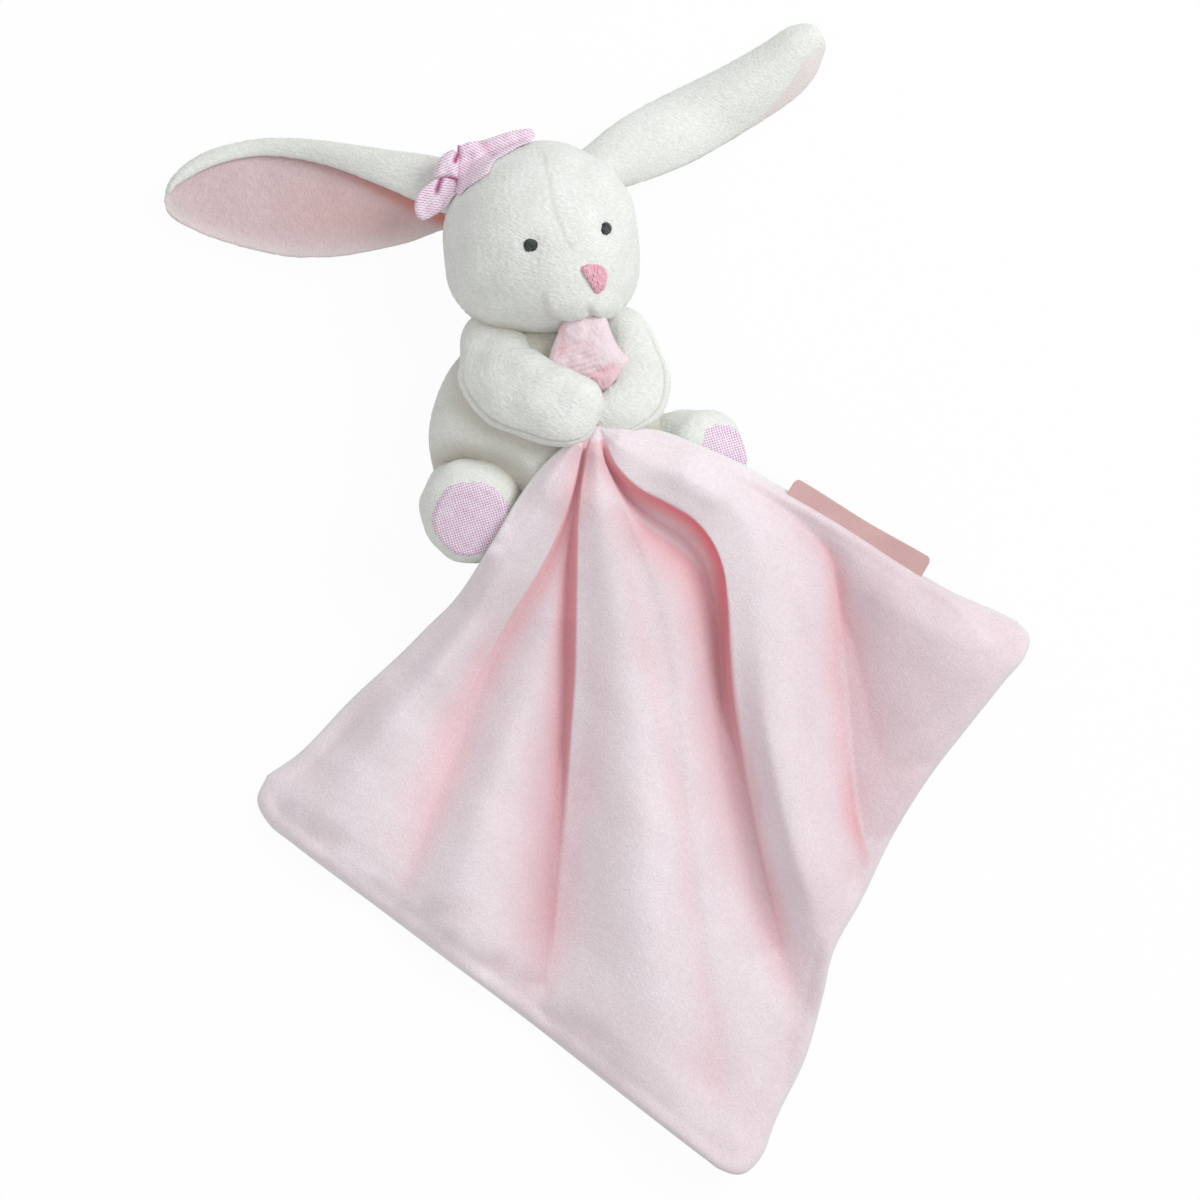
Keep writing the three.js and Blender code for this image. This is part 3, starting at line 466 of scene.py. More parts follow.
def satin_finish(name, light, dark):
    """Ribbon: faint ribs across it, and a cloudy shine"""
    finish = Finish(name, roughness=0.55, sheen=0.1)
    ribs = finish.noise(finish.place(math.radians(57), 7), 0.4 * MM, 2)
    clouds = finish.noise(finish.place(), 8 * MM, 2)
    finish.paint(finish.mix((ribs * 0.4 + clouds * 0.6).clamped(), light, dark))
    finish.bump(ribs, 0.1 * MM, 0.5)
    return finish.material


# The third colour of each pile is its painted shade, brought in by the fold marks: folds, seams, creases and
# where parts meet
PLUSH = pile_finish(
    "cream_plush", colour("#fdfefa"), colour("#d8d9d4"), colour("#c8bfae"), colour("#eef0ec"),
    math.radians(65), 0.55 * MM, 0.65, 0.2 * MM)
EAR_VELOUR = pile_finish(
    "ear_velour", colour("#edd6d9"), colour("#cbaeb0"), colour("#ea8f7d"), colour("#f0efec"),
    math.radians(15), 0.55 * MM, 0.4, 0.2 * MM)
PINK_VELOUR = pile_finish(
    "pink_velour", colour("#fff6fb"), colour("#e3cfd6"), colour("#f2606f"), colour("#efedea"),
    math.radians(30), 0.55 * MM, 0.3, 0.16 * MM)
WHITE_VELOUR = pile_finish(
    "white_velour", colour("#f4f3f1"), colour("#d8d5d2"), colour("#cfc3c0"), colour("#efedea"),
    math.radians(30), 0.55 * MM, 0.3, 0.16 * MM)
SOLE_WEAVE = woven_finish(
    "sole_weave", colour("#ffffff"), colour("#c87cba"), 0.58 * MM, math.radians(-28), 0.15)
BOW_WEAVES = {
    part: woven_finish(
        "bow_weave_" + part, colour("#ffffff"), colour("#d995c8"), 0.82 * MM, math.radians(turn), 0.8)
    for part, turn in (("right", -28), ("knot", 24), ("left", -8))
}
DARK_THREAD = thread_finish("dark_thread", colour("#5c6462"), colour("#0c1212"), math.radians(30))
PINK_THREAD = thread_finish("pink_thread", colour("#ffe0e9"), colour("#ff9eb8"), math.radians(-12))
LABEL_SATIN = satin_finish("label_satin", colour("#d9b6b4"), colour("#c59b99"))


# Body and head

def torso_points(directions):
    """An egg, narrower towards the neck"""
    narrow = 1 - TORSO_TAPER * directions[:, 1]
    points = directions * (TORSO_SIZE / 2)
    points[:, 0] = directions[:, 0] * (TORSO_SIZE[0] / 2 * narrow)
    return kept_above_floor(points + TORSO)


def nearness(points, pieces, reach):
    """How near each point lies to other pieces, from 0 to 1"""
    tree = surface_of(*pieces)
    away = [tree.find_nearest(Vector(point), 4 * reach)[3] or 4 * reach for point in points]
    return hump(np.array(away), reach)


# The body gives way where the left foot leans on it
LEFT_FOOT_MIDDLE = (472, 512)
FOOT_HOLLOW = 4.5 * MM


def make_torso():
    directions, faces = ball_directions(7)
    piece = make_piece("body_skin", torso_points(directions), faces, PLUSH)
    side_seam = points_of(piece)[:, 2] - TORSO[2]
    groove = -0.7 * MM * hump(side_seam, 0.7 * MM)
    uneven = 0.45 * MM * lumps(points_of(piece), 24 * MM, 3)
    from_foot = np.linalg.norm(points_of(piece)[:, :2] - from_photo(LEFT_FOOT_MIDDLE), axis=1)
    hollow = -FOOT_HOLLOW * smooth((25 * MM - from_foot) / (10 * MM)) * smooth(side_seam / (6 * MM))
    raise_skin(piece, groove + uneven + hollow + tufted(points_of(piece), 7))
    # Painted shade along the side seam's groove
    mark(piece, "fold", 0.5 * hump(side_seam, 0.8 * MM))
    return piece


# Cheeks and muzzle: the direction from the middle of the head, how far it swells and how widely
HEAD_SWELLS = [
    ([-0.72, -0.64, 0.1], CHEEK_RISE, 0.5),
    ([0.72, -0.62, 0.12], CHEEK_RISE, 0.5),
    ([0.28, -0.58, 0.74], MUZZLE_RISE, 0.4),
    ([0.62, -0.55, 0.62], MUZZLE_RISE, 0.34),
]
FACE_SEAM = [(541, 146), (549, 185), (555, 212), (565, 240), (580, 266)]
CHIN_SEAM = [(595, 297), (593, 305), (589, 308), (587, 316)]
# The two halves of the muzzle: middle, half width and half height in pixels
MUZZLES = [((570, 295), (25, 27)), ((606, 302), (17, 18))]
LEFT_EYE = (531, 248)
RIGHT_EYE = (606, 231)
NOSE = [(580.5, 270.5), (584.5, 269), (589, 267.5), (595, 267.5), (602, 269.5), (605.5, 274), (606, 281),
        (604.5, 289), (601, 293.5), (596.5, 295.5), (592.5, 291), (589, 285), (585, 278.5)]


def head_points(directions):
    swell = np.zeros(len(directions))
    for aim, rise, spread in HEAD_SWELLS:
        angle = np.arccos(np.clip(directions @ unit(aim), -1, 1))
        swell += rise * hump(angle, spread)
    return kept_above_floor(directions * (HEAD_SIZE / 2 + swell[:, None]) + HEAD)


def make_head():
    directions, faces = ball_directions(7)
    piece = make_piece("head_skin", head_points(directions), faces, PLUSH)
    points = points_of(piece)
    front = smooth((points[:, 2] - HEAD[2]) / (8 * MM))
    flat = points[:, :2]
    amount = 0.35 * MM * lumps(points, 18 * MM, 5)
    fold = np.zeros(len(points))
    for pixels, depth, width in ((FACE_SEAM, 0.25, 0.8), (CHIN_SEAM, 0.4, 0.8)):
        away, along = near_route(flat, spline(from_photo(pixels), 40))
        ends = smooth(along * 8) * smooth((1 - along) * 5) * front
        amount -= depth * MM * (hump(away, width * MM) + 0.8 * hump(away, 4 * MM)) * ends
        # Painted shade along the seams
        fold += 0.2 * hump(away, width * MM) * ends
    for middle, halves in MUZZLES:
        away = (flat - from_photo(middle)) / (np.array(halves) * PIXEL)
        reach = np.linalg.norm(away, axis=1)
        lower = smooth(0.45 - away[:, 1]) * front
        amount += 1.7 * MM * smooth((1.15 - reach) / 0.4) * lower
        rim = hump(reach - 1.12, 0.1) * lower * smooth(-0.3 - away[:, 1])
        amount -= 0.5 * MM * rim
        # Painted shade in the tuck round the muzzle
        fold += 0.35 * rim
    for pixel in (LEFT_EYE, RIGHT_EYE):
        away = np.linalg.norm(flat - from_photo(pixel), axis=1)
        amount -= 1.1 * MM * hump(away, 4 * MM) * front
    raise_skin(piece, amount + tufted(points, 1))
    mark(piece, "fold", fold)
    return piece


def thread_tree():
    """Geometry nodes that lay a round thread along each line, wavering a little"""
    tree = bpy.data.node_groups.new("laid_threads", "GeometryNodeTree")
    for name, kind in (
        ("Lines", "Geometry"), ("Thread Radius", "Float"), ("Waver", "Float"), ("Seed", "Int"),
        ("Thread", "Material"),
    ):
        tree.interface.new_socket(name, in_out="INPUT", socket_type="NodeSocket" + kind)
    tree.interface.new_socket("Threads", in_out="OUTPUT", socket_type="NodeSocketGeometry")

    def node(kind, settings, sockets):
        made = tree.nodes.new(kind)
        for key, value in settings.items():
            setattr(made, key, value)
        for key, value in sockets.items():
            if isinstance(value, bpy.types.NodeSocket):
                tree.links.new(value, made.inputs[key])
            else:
                made.inputs[key].default_value = value
        return made.outputs

    given = node("NodeGroupInput", {}, {})
    chance = node(
        "FunctionNodeRandomValue", {"data_type": "FLOAT_VECTOR"},
        {0: (-1, -1, -1), 1: (1, 1, 1), "Seed": given["Seed"]})
    waver = node("ShaderNodeVectorMath", {"operation": "SCALE"}, {0: chance[0], "Scale": given["Waver"]})
    lines = node("GeometryNodeMeshToCurve", {}, {"Mesh": given["Lines"]})
    moved = node("GeometryNodeSetPosition", {}, {"Geometry": lines["Curve"], "Offset": waver[0]})
    round_section = node(
        "GeometryNodeCurvePrimitiveCircle", {}, {"Resolution": 8, "Radius": given["Thread Radius"]})
    threads = node("GeometryNodeCurveToMesh", {}, {
        "Curve": moved["Geometry"], "Profile Curve": round_section["Curve"], "Fill Caps": True})
    loose = node("GeometryNodeRealizeInstances", {}, {"Geometry": threads["Mesh"]})
    finished = node("GeometryNodeSetMaterial", {}, {
        "Geometry": loose["Geometry"], "Material": given["Thread"]})
    output = tree.nodes.new("NodeGroupOutput")
    tree.links.new(finished["Geometry"], output.inputs["Threads"])
    return tree


STEPS_PER_THREAD = 14


def laid_lines(outline, angle, spacing):
    """Parallel lines that fill a flat outline, uneven at their ends as stitches are"""
    chance = np.random.default_rng(len(outline))
    closed = spline(np.vstack([outline, outline[:1]]), 121)
    ahead = np.array([math.cos(angle), math.sin(angle)])
    across = np.array([-ahead[1], ahead[0]])
    along, level = closed @ ahead, closed @ across
    lines = []
    for row in np.arange(level.min() + spacing / 2, level.max(), spacing):
        crossed = (level[:-1] - row) * (level[1:] - row) < 0
        share = (row - level[:-1][crossed]) / (level[1:][crossed] - level[:-1][crossed])
        ends = along[:-1][crossed] + share * np.diff(along)[crossed]
        low, high = ends.min() - chance.uniform(0, 0.3) * MM, ends.max() + chance.uniform(0, 0.3) * MM
        if high - low > spacing:
            lines.append(np.outer(np.linspace(low, high, STEPS_PER_THREAD), ahead) + row * across)
    return np.array(lines)


def make_stitches(name, outline_pixels, carrier, rise, angle, radius, finish):
    """Satin stitch: a domed patch of threads laid side by side over the skin"""
    lines = laid_lines(from_photo(outline_pixels), angle, radius * 1.25)
    rows, steps = lines.shape[:2]
    heights, normals = drop_on(carrier, lines.reshape(-1, 2))
    over = 1 - np.linspace(-1, 1, steps) ** 4
    beside = 1 - np.linspace(-1, 1, rows) ** 4 * 0.8
    dome = (rise * np.outer(beside, over) - 0.3 * MM * (1 - over)).ravel()
    points = np.column_stack([lines.reshape(-1, 2), heights]) + normals * dome[:, None]
    edges = [(i * steps + j, i * steps + j + 1) for i in range(rows) for j in range(steps - 1)]
    mesh = bpy.data.meshes.new(name + "_lines")
    mesh.from_pydata(points.tolist(), edges, [])
    guide = bpy.data.objects.new(name + "_lines", mesh)
    bpy.context.scene.collection.objects.link(guide)
    modifier = guide.modifiers.new("threads", "NODES")
    modifier.node_group = THREADS
    sizes = {"Thread Radius": radius, "Waver": 0.06 * MM, "Seed": 4, "Thread": finish}
    for item in THREADS.interface.items_tree:
        if item.name in sizes:
            modifier[item.identifier] = sizes[item.name]
    graph = bpy.context.evaluated_depsgraph_get()
    threads = bpy.data.meshes.new_from_object(guide.evaluated_get(graph))
    bpy.data.objects.remove(guide)
    threads.shade_smooth()
    piece = bpy.data.objects.new(name, threads)
    bpy.context.scene.collection.objects.link(piece)
    return piece


THREADS = thread_tree()


def eye_outline(pixel, width, height, seed):
    """Round, but as uneven as hand-guided stitches leave it"""
    chance = np.random.default_rng(seed)
    angles = np.linspace(0, 2 * math.pi, 14, endpoint=False)
    reach = chance.uniform(0.92, 1.08, 14) / 2
    return [(pixel[0] + width * r * math.cos(a), pixel[1] + height * r * math.sin(a))
            for a, r in zip(angles, reach)]


# Arms

# From the shoulder to the paw, as shares of the body, and the radius as a share of the usual one
LEFT_ARM_PATH = [[-0.33, 0.93, 0.42], [-0.395, 0.7, 0.66], [-0.365, 0.44, 0.88], [-0.04, 0.235, 1.06],
                 [0.485, 0.09, 1.14]]
LEFT_ARM_RADII = [0.9, 0.9, 1.0, 0.95, 0.8]
RIGHT_ARM_PATH = [[0.2, 0.76, 0.48], [0.6, 0.82, 0.6], [0.78, 0.54, 0.8], [0.8, 0.28, 0.95],
                  [0.62, 0.14, 1.02], [0.38, 0.11, 1.05]]
RIGHT_ARM_RADII = [0.72, 0.74, 0.72, 0.71, 0.6, 0.5]
ARM_ROUNDING = ARM_WIDTH / 3
ARM_RINGS = 150
ARM_SIDES = 128


def arm_loops(path, radii):
    """Loops of a swelling arm along a curve, with rounded ends, their shares of its length and angles"""
    fine = spline(path, 400)
    length = np.linalg.norm(np.diff(fine, axis=0), axis=1).sum()
    t = (1 - np.cos(np.pi * np.arange(ARM_RINGS + 1) / ARM_RINGS)) / 2
    steps = np.linspace(0, 1, len(fine))
    middle = np.stack([np.interp(t, steps, column) for column in fine.T], axis=1)
    ahead = unit(np.stack([np.interp(t, steps, column) for column in np.gradient(fine, axis=0).T], axis=1))
    across = unit(np.stack([-ahead[:, 1], ahead[:, 0], np.zeros(len(t))], axis=1))
    over = np.cross(ahead, across)
    to_start = np.minimum(t * length / ARM_ROUNDING, 1)
    to_end = np.minimum((1 - t) * length / ARM_ROUNDING, 1)
    rounding = np.sqrt(1 - (1 - to_start) ** 2) * np.sqrt(1 - (1 - to_end) ** 2)
    radius = along_shares(radii, t) * np.maximum(rounding, 0.01)
    angle = 2 * np.pi * np.arange(ARM_SIDES) / ARM_SIDES
    wide = np.cos(angle)[None, :, None] * radius[:, None, None]
    deep = np.sin(angle)[None, :, None] * radius[:, None, None] * ARM_FLATNESS
    loops = middle[:, None] + wide * across[:, None] + deep * over[:, None]
    return loops, t, angle


def make_arm(name, path, radii, seam_angle, seed):
    """Plush cover round its filling, with a seam along the forearm"""
    loops, t, angle = arm_loops([on_torso(p) for p in path], np.array(radii) * ARM_WIDTH / 2)
    points, faces = closed_tube(loops)
    points = kept_above_floor(points)
    piece = make_piece(name, points, faces, PLUSH)
    face_outwards(piece)
    around = (angle[None, :] - math.radians(seam_angle) + np.pi) % (2 * np.pi) - np.pi
    shown = smooth((t - 0.34) / 0.12) * smooth((0.985 - t) / 0.05)
    seam = (hump(around, 0.055) * shown[:, None]).ravel()
    seam = np.append(seam, [0, 0])
    raise_skin(piece, -0.8 * MM * seam + 0.35 * MM * lumps(points, 15 * MM, seed) + tufted(points, seed))
    # Painted shade along the seam's groove
    mark(piece, "fold", 0.5 * seam)
    return piece


# Tuft

def make_pillow(name, outline_pixels, middle_pixel, level, rise, depth, crown, creases, finish, seed,
                shade=0.0):
    """A puffed piece of cloth of a given outline, the flatter the higher its crown, with creases:
    each a route, its depth and width in millimetres, and how dark the painted shade in it is; the whole
    piece gets painted shade by the given share"""
    outline = from_photo(outline_pixels)
    closed = spline(np.vstack([outline, outline[:1]]), 129)[:-1]
    middle = from_photo(middle_pixel)
    shares = np.sin(np.linspace(0, 1, 41)[1:] * np.pi / 2)
    flat = np.vstack([middle + share * (closed - middle) for share in shares] + [middle[None]])
    inner = np.append(np.repeat(shares, len(closed)), 0)
    dome = (1 - inner ** crown) ** 0.5
    carried = level(flat)
    top = carried + rise * dome
    fold = np.zeros(len(flat))
    for pixels, deep, width, dark in creases:
        away, along = near_route(flat, spline(from_photo(pixels), 30))
        ends = smooth((1 - along) * 2.5)
        top -= deep * MM * hump(away, width * MM) * ends * dome
        # Painted shade along each crease
        fold += dark * hump(away, width * 0.8 * MM) * ends
    top += 0.2 * MM * lumps(np.column_stack([flat, carried]), 5 * MM, seed) * dome
    bottom = carried - depth * dome
    count, rings = len(closed), len(shares)
    points = np.vstack([np.column_stack([flat, top]), np.column_stack([flat, bottom])])
    under = len(flat)
    faces = grid_faces(rings, count, wrap=True)
    faces += grid_faces(rings, count, wrap=True, first=under, flip=True)
    rim = (rings - 1) * count
    for j in range(count):
        following = (j + 1) % count
        faces.append((rings * count, j, following))
        faces.append((under + rings * count, under + following, under + j))
        faces.append((rim + j, under + rim + j, under + rim + following, rim + following))
    piece = make_piece(name, points, faces, finish)
    face_outwards(piece)
    mark(piece, "fold", np.concatenate([fold, fold]) + shade)
    return piece


# The outline of the blanket's corner, and its creases: a route, depth and width in mm, and how dark the
# painted shade in it is
TUFT = [(599, 397), (586, 388), (568, 380), (548, 369), (551, 353), (557, 337), (562, 326), (573, 317),
        (590, 315), (604, 317), (610, 330), (615, 342), (622, 353), (632, 364), (629, 376), (621, 388),
        (611, 397)]
TUFT_CREASES = [
    ([(598, 391), (608, 380), (620, 372), (634, 364)], 0.9, 2.4, 0.2),
    ([(588, 386), (597, 377), (608, 370), (622, 363)], 0.8, 1.6, 0.22),
    *((
        [(554 + 4 * k, 352 + 4.4 * k), (578 + 3 * k, 345 + 4.8 * k), (598 + 2 * k, 337 + 5.2 * k)],
        0.4, 0.6, 0.14) for k in range(7)),
    ([(561, 328), (563, 346), (556, 362)], 0.6, 1.4, 0.25),
]


def tuft_level(flat):
    """The cloth rises from between the paws to under the chin"""
    up = (flat[:, 1] - from_photo((0, 397))[1]) / (24 * MM)
    right = (flat[:, 0] - from_photo((610, 0))[0]) / (9 * MM)
    return (41 + 3 * smooth(up) - 3 * smooth(right)) * MM


def make_tuft():
    piece = make_pillow("tuft_cloth", TUFT, (594, 352), tuft_level, 5.5 * MM, 4 * MM, 2.4, TUFT_CREASES,
                        PINK_VELOUR, 31, shade=0.06)
    raise_skin(piece, tufted(points_of(piece), 32))
    return piece


# Legs and soles

# Where each leg starts, as shares of the body, and the way it points
LEFT_HIP = [-0.605, -0.52, 0.15]
LEFT_AIM = [-0.03, -0.32, 0.947]
RIGHT_HIP = [0.82, -0.26, 0.1]
RIGHT_AIM = [0.75, -0.06, 0.66]


def leg_axes(aim):
    """The directions along a leg, to its side and upwards"""
    along = unit(aim)
    side = unit(np.cross([0, 1, 0], along))
    return along, side, np.cross(along, side)


def make_leg(name, hip_share, aim, seed):
    """Leg and foot turned about one line, down to the edge of the sole"""
    along, side, up = leg_axes(aim)
    hip = on_torso(hip_share)
    wide = FOOT_WIDTH / 2
    inner = SOLE_WIDTH / 2
    edge = [
        (wide - FOOT_EDGE * (1 - math.cos(a)), LEG_LENGTH - FOOT_EDGE * (1 - math.sin(a)))
        for a in np.linspace(0, math.pi / 2, 10)[1:]
    ]
    profile = np.array([
        (0.1 * MM, 0), (wide * 0.5, 0.4 * MM), (wide * 0.76, 3 * MM), (wide * 0.86, LEG_LENGTH * 0.3),
        (wide * 0.97, LEG_LENGTH * 0.55), (wide, LEG_LENGTH - FOOT_EDGE), *edge,
        (inner - 1.5 * MM, LEG_LENGTH - 1.6 * MM), (inner - 3 * MM, LEG_LENGTH - 2.5 * MM),
    ])
    line = spline(profile, 110)
    angle = 2 * np.pi * np.arange(96) / 96
    loops = hip + line[:, 1][:, None, None] * along + line[:, 0][:, None, None] * (
        np.cos(angle)[None, :, None] * side + np.sin(angle)[None, :, None] * up)
    points, faces = closed_tube(loops)
    points = kept_above_floor(points)
    piece = make_piece(name, points, faces, PLUSH)
    face_outwards(piece)
    raise_skin(piece, 0.4 * MM * lumps(points, 14 * MM, seed) + tufted(points, seed))
    mark(piece, "fold", np.zeros(len(points)))
    return piece


def make_sole(name, hip_share, aim):
    """Round pad of woven cotton, gathered a little by its seam"""
    along, side, up = leg_axes(aim)
    end = on_torso(hip_share) + along * LEG_LENGTH
    angle = 2 * np.pi * np.arange(120) / 120
    scallop = 1 + 0.012 * np.sin(angle * 15) + 0.018 * np.sin(angle * 6 + 1)
    shares = np.sin(np.linspace(0, 1, 40)[1:] * np.pi / 2)
    loops = []
    for share in shares:
        radius = SOLE_WIDTH / 2 * share * (1 + (scallop - 1) * share ** 6)
        height = 1.1 * MM * (1 - share ** 2) - 1.2 * MM * smooth((share - 0.9) / 0.1)
        loops.append(end + height * along + radius[:, None] * (
            np.cos(angle)[:, None] * side + np.sin(angle)[:, None] * up))
    loops.append(loops[-1] - 1.5 * MM * along)
    points, faces = closed_tube(np.array(loops))
    piece = make_piece(name, points, faces, SOLE_WEAVE)
    face_outwards(piece)
    mark(piece, "fold", np.zeros(len(points)))
    return piece


# Ears

# Their edges from the tip to the root, the hem of the fold, and the middle of the hollow under it
LEFT_EAR_TOP = [(163, 199), (166, 185), (175, 172), (195, 156), (222, 145), (260, 138), (290, 137.5),
                (320, 140), (360, 146), (400, 152), (440, 158), (470, 166)]
LEFT_EAR_BOTTOM = [(163, 199), (166, 210), (174, 219), (199, 233), (240, 247), (290, 257.5), (310, 258),
                   (340, 257), (380, 250), (410, 243), (440, 232), (470, 224)]
LEFT_EAR_FOLD = [(163, 199), (169, 188), (184, 180), (224, 161), (265, 152), (303, 155), (341, 166),
                 (380, 184), (415, 202), (440, 214), (470, 220)]
LEFT_EAR_HOLLOW = [(250, 195), (320, 208), (400, 220)]
RIGHT_EAR_TOP = [(823, 34), (816, 27), (806, 25), (791, 28), (763, 45), (727, 65), (690, 83), (652, 102),
                 (615, 125), (588, 148), (566, 166)]
RIGHT_EAR_BOTTOM = [(823, 34), (826, 44), (824, 54), (815, 75), (797, 95), (763, 119), (727, 141),
                    (690, 162), (652, 178), (623, 188), (596, 200)]


EAR_STEPS = 300


def make_strip(name, sections, finish):
    """Closed body through closed sections, given as an array of rows of points"""
    points, faces = closed_tube(np.asarray(sections))
    piece = make_piece(name, points, faces, finish)
    face_outwards(piece)
    return piece


def thick_section(line, thickness, sides):
    """Closed loop round a line in a plane, whose sides lie off it by these shares of the thickness"""
    ahead = unit(np.gradient(line, axis=0))
    sideways = np.stack([-ahead[:, 1], ahead[:, 0]], axis=1)
    ends = np.sqrt(np.clip(1 - (2 * np.linspace(0, 1, len(line)) - 1) ** 8, 0.02, 1))[:, None]
    lower = line + sideways * thickness * sides[0] * ends
    upper = line + sideways * thickness * sides[1] * ends
    return np.vstack([lower, upper[::-1]])


def ear_rows(count):
    """Rows along an ear, closer together at its tip"""
    return 1 - np.cos(np.linspace(0.04, 1, count) * np.pi / 2)


def ear_line(pixels):
    return spline(from_photo(pixels), EAR_STEPS)


def at_share(line, t):
    """The point of a line at a share of its length from the tip"""
    steps = np.linspace(0, 1, EAR_STEPS)
    return np.array([np.interp(t, steps, column) for column in line.T])


def set_section(sections, flat, low, high, rise):
    """Stands a flat section up between the two edges of an ear"""
    across = (high - low) / max(np.linalg.norm(high - low), 1e-6)
    sections.append(np.column_stack([low + flat[:, :1] * across, flat[:, 1] + rise]))


def make_left_ear():
    """Its upper edge is folded over, so the plush back shows above the velour lining"""
    top, bottom, fold = ear_line(LEFT_EAR_TOP), ear_line(LEFT_EAR_BOTTOM), ear_line(LEFT_EAR_FOLD)
    backs, linings = [], []
    for t in ear_rows(90):
        high, low, hem = at_share(top, t), at_share(bottom, t), at_share(fold, t)
        width = np.linalg.norm(high - low)
        rise = (3 + 12 * smooth((t - 0.3) / 0.65)) * MM
        turn = min(2.4 * MM, width * 0.2)
        flap = max(min(np.linalg.norm(high - hem), width * 0.8), turn * 1.6)
        small = min(width / (12 * MM), 1)
        cup = min(2.4 * MM, width * 0.1) * math.sin(math.pi * min(t * 1.3, 1))
        lip = (4.3 + 2.6 * smooth((t - 0.3) / 0.5)) * MM
        line = spline([
            (0.5 * MM * small, 2.6 * MM + 0.6 * cup), (width * 0.12, 1.4 * MM + 0.2 * cup),
            (width * 0.45, 1.4 * MM), (width - turn * 1.1, 1.9 * MM), (width - 0.9 * turn, 2 * MM),
            (width - 1.2 * MM * small, 3.4 * MM), (width - 0.9 * turn, lip + 0.5 * MM),
            (width - flap * 0.75, lip + 0.4 * MM), (width - flap + 0.6 * MM * small, lip - 0.5 * MM),
        ], 64)
        line[:, 1] = 3 * MM + (line[:, 1] - 3 * MM) * small
        set_section(backs, thick_section(line, 1.5 * MM * small, (-1, 0)), low, high, rise)
        set_section(linings, thick_section(line, 1.3 * MM * small, (0.05, 1)), low, high, rise)
    back = make_strip("left_ear_plush", backs, PLUSH)
    lining = make_strip("left_ear_lining_velour", linings, EAR_VELOUR)
    for piece in (back, lining):
        points = kept_above_floor(points_of(piece))
        set_points(piece, points)
        flat = points[:, :2]
        crease, along = near_route(flat, spline(from_photo(LEFT_EAR_FOLD[4:]), 40) - [0, 1.2 * MM])
        hem, _ = near_route(flat, spline(from_photo(LEFT_EAR_BOTTOM), 60))
        inner, share = near_route(flat, spline(from_photo(LEFT_EAR_HOLLOW), 30))
        # Painted shadow under the folded edge, and painted shade in the hollow of the lining
        deep = hump(crease, 2.4 * MM) * along ** 1.3 + 0.13 * hump(inner, 9 * MM) * smooth(share * 2)
        mark(piece, "fold", deep if piece is lining else np.zeros(len(points)))
        mark(piece, "rim", 0.45 * hump(hem, 4.5 * MM) if piece is lining else np.zeros(len(points)))
        raise_skin(piece, tufted(points, 51))
    return back, lining


def make_right_ear():
    """It lies on its lining, which shows as a strip along its lower edge"""
    top, bottom = ear_line(RIGHT_EAR_TOP), ear_line(RIGHT_EAR_BOTTOM)
    backs, linings = [], []
    for t in ear_rows(80):
        high, low = at_share(top, t), at_share(bottom, t)
        width = np.linalg.norm(high - low)
        rise = (1 + 15 * smooth((t - 0.45) / 0.5)) * MM
        arch = min(7 * MM, width * 0.4)
        strip = min((5.2 * (1 - smooth(t / 0.55)) + 0.6) * MM, width * 0.28)
        v = np.linspace(-1, 1, 40)
        lift = 1.5 * MM + arch * (1 - v ** 2)
        full = np.stack([(v + 1) / 2 * width, lift], axis=1)
        upper = full.copy()
        upper[:, 0] = strip + (v + 1) / 2 * (width - strip)
        upper[:, 1] += 0.6 * MM
        set_section(backs, thick_section(upper, 2.4 * MM, (0.1, 1)), low, high, rise)
        set_section(linings, thick_section(full, 2.4 * MM, (-0.7, 0.3)), low, high, rise)
    back = make_strip("right_ear_plush", backs, PLUSH)
    lining = make_strip("right_ear_lining_velour", linings, EAR_VELOUR)
    for piece in (back, lining):
        points = kept_above_floor(points_of(piece))
        set_points(piece, points)
        mark(piece, "fold", np.zeros(len(points)))
        mark(piece, "rim", np.full(len(points), 0.6 if piece is lining else 0))
        raise_skin(piece, tufted(points, 52))
    return back, lining


# Bow

# The outline of each part, and its creases: a route, depth and width in mm, and how dark the painted shade
# in it is
BOW_TAIL = [(458, 146), (462, 146), (469, 143), (480, 142), (490, 139), (499, 136), (512, 132), (524, 130),
            (531, 130), (535, 135), (534, 140), (529, 144), (520, 148), (511, 153), (503, 158), (496, 162),
            (492, 168), (490, 174), (482, 180), (475, 185), (467, 190), (461, 196), (457, 195), (456, 184),
            (455, 172), (457, 160)]
BOW_TAIL_CREASES = [
    ([(493, 157), (505, 149), (517, 144), (530, 137)], 0.5, 0.5, 0.25),
    ([(482, 142), (488, 151), (494, 161)], 1, 1.6, 0.25),
    ([(456, 172), (466, 166), (478, 163)], 0.5, 1.2, 0.15),
    ([(457, 160), (468, 156), (478, 156)], 0.4, 1.2, 0.1),
    ([(458, 148), (456, 172), (457, 196)], 1, 1, 0.8),
]
BOW_KNOT = [(434, 178), (436, 170), (440, 160), (446, 154), (453, 151), (458, 154), (460, 163), (459, 172),
            (459, 182), (450, 181), (441, 179)]
BOW_KNOT_CREASES = [
    ([(459, 155), (456, 161), (455, 167)], 1.4, 1, 1),
    ([(459, 181), (450, 179), (438, 179)], 1, 0.7, 0.9),
]
BOW_END = [(442, 177), (434, 181), (427, 186), (419, 194), (416, 201), (415, 210), (418, 218), (424, 221),
           (432, 218), (441, 212.5), (448, 206), (453, 199), (458, 194), (459, 186), (457, 179), (450, 176)]
BOW_END_CREASES = [
    ([(442, 177), (439, 186), (436, 195), (434, 199)], 1.7, 0.9, 0.9),
    ([(458, 180), (458, 190), (454, 197)], 1, 1, 0.8),
    ([(424, 196), (421, 206)], 0.4, 1, 0.1),
]


LOWEST_RIBBON = 31 * MM
ROUND_ABOUT = [(0, 0), (2, 0), (-2, 0), (0, 2), (0, -2), (1.5, 1.5), (-1.5, 1.5), (1.5, -1.5), (-1.5, -1.5)]


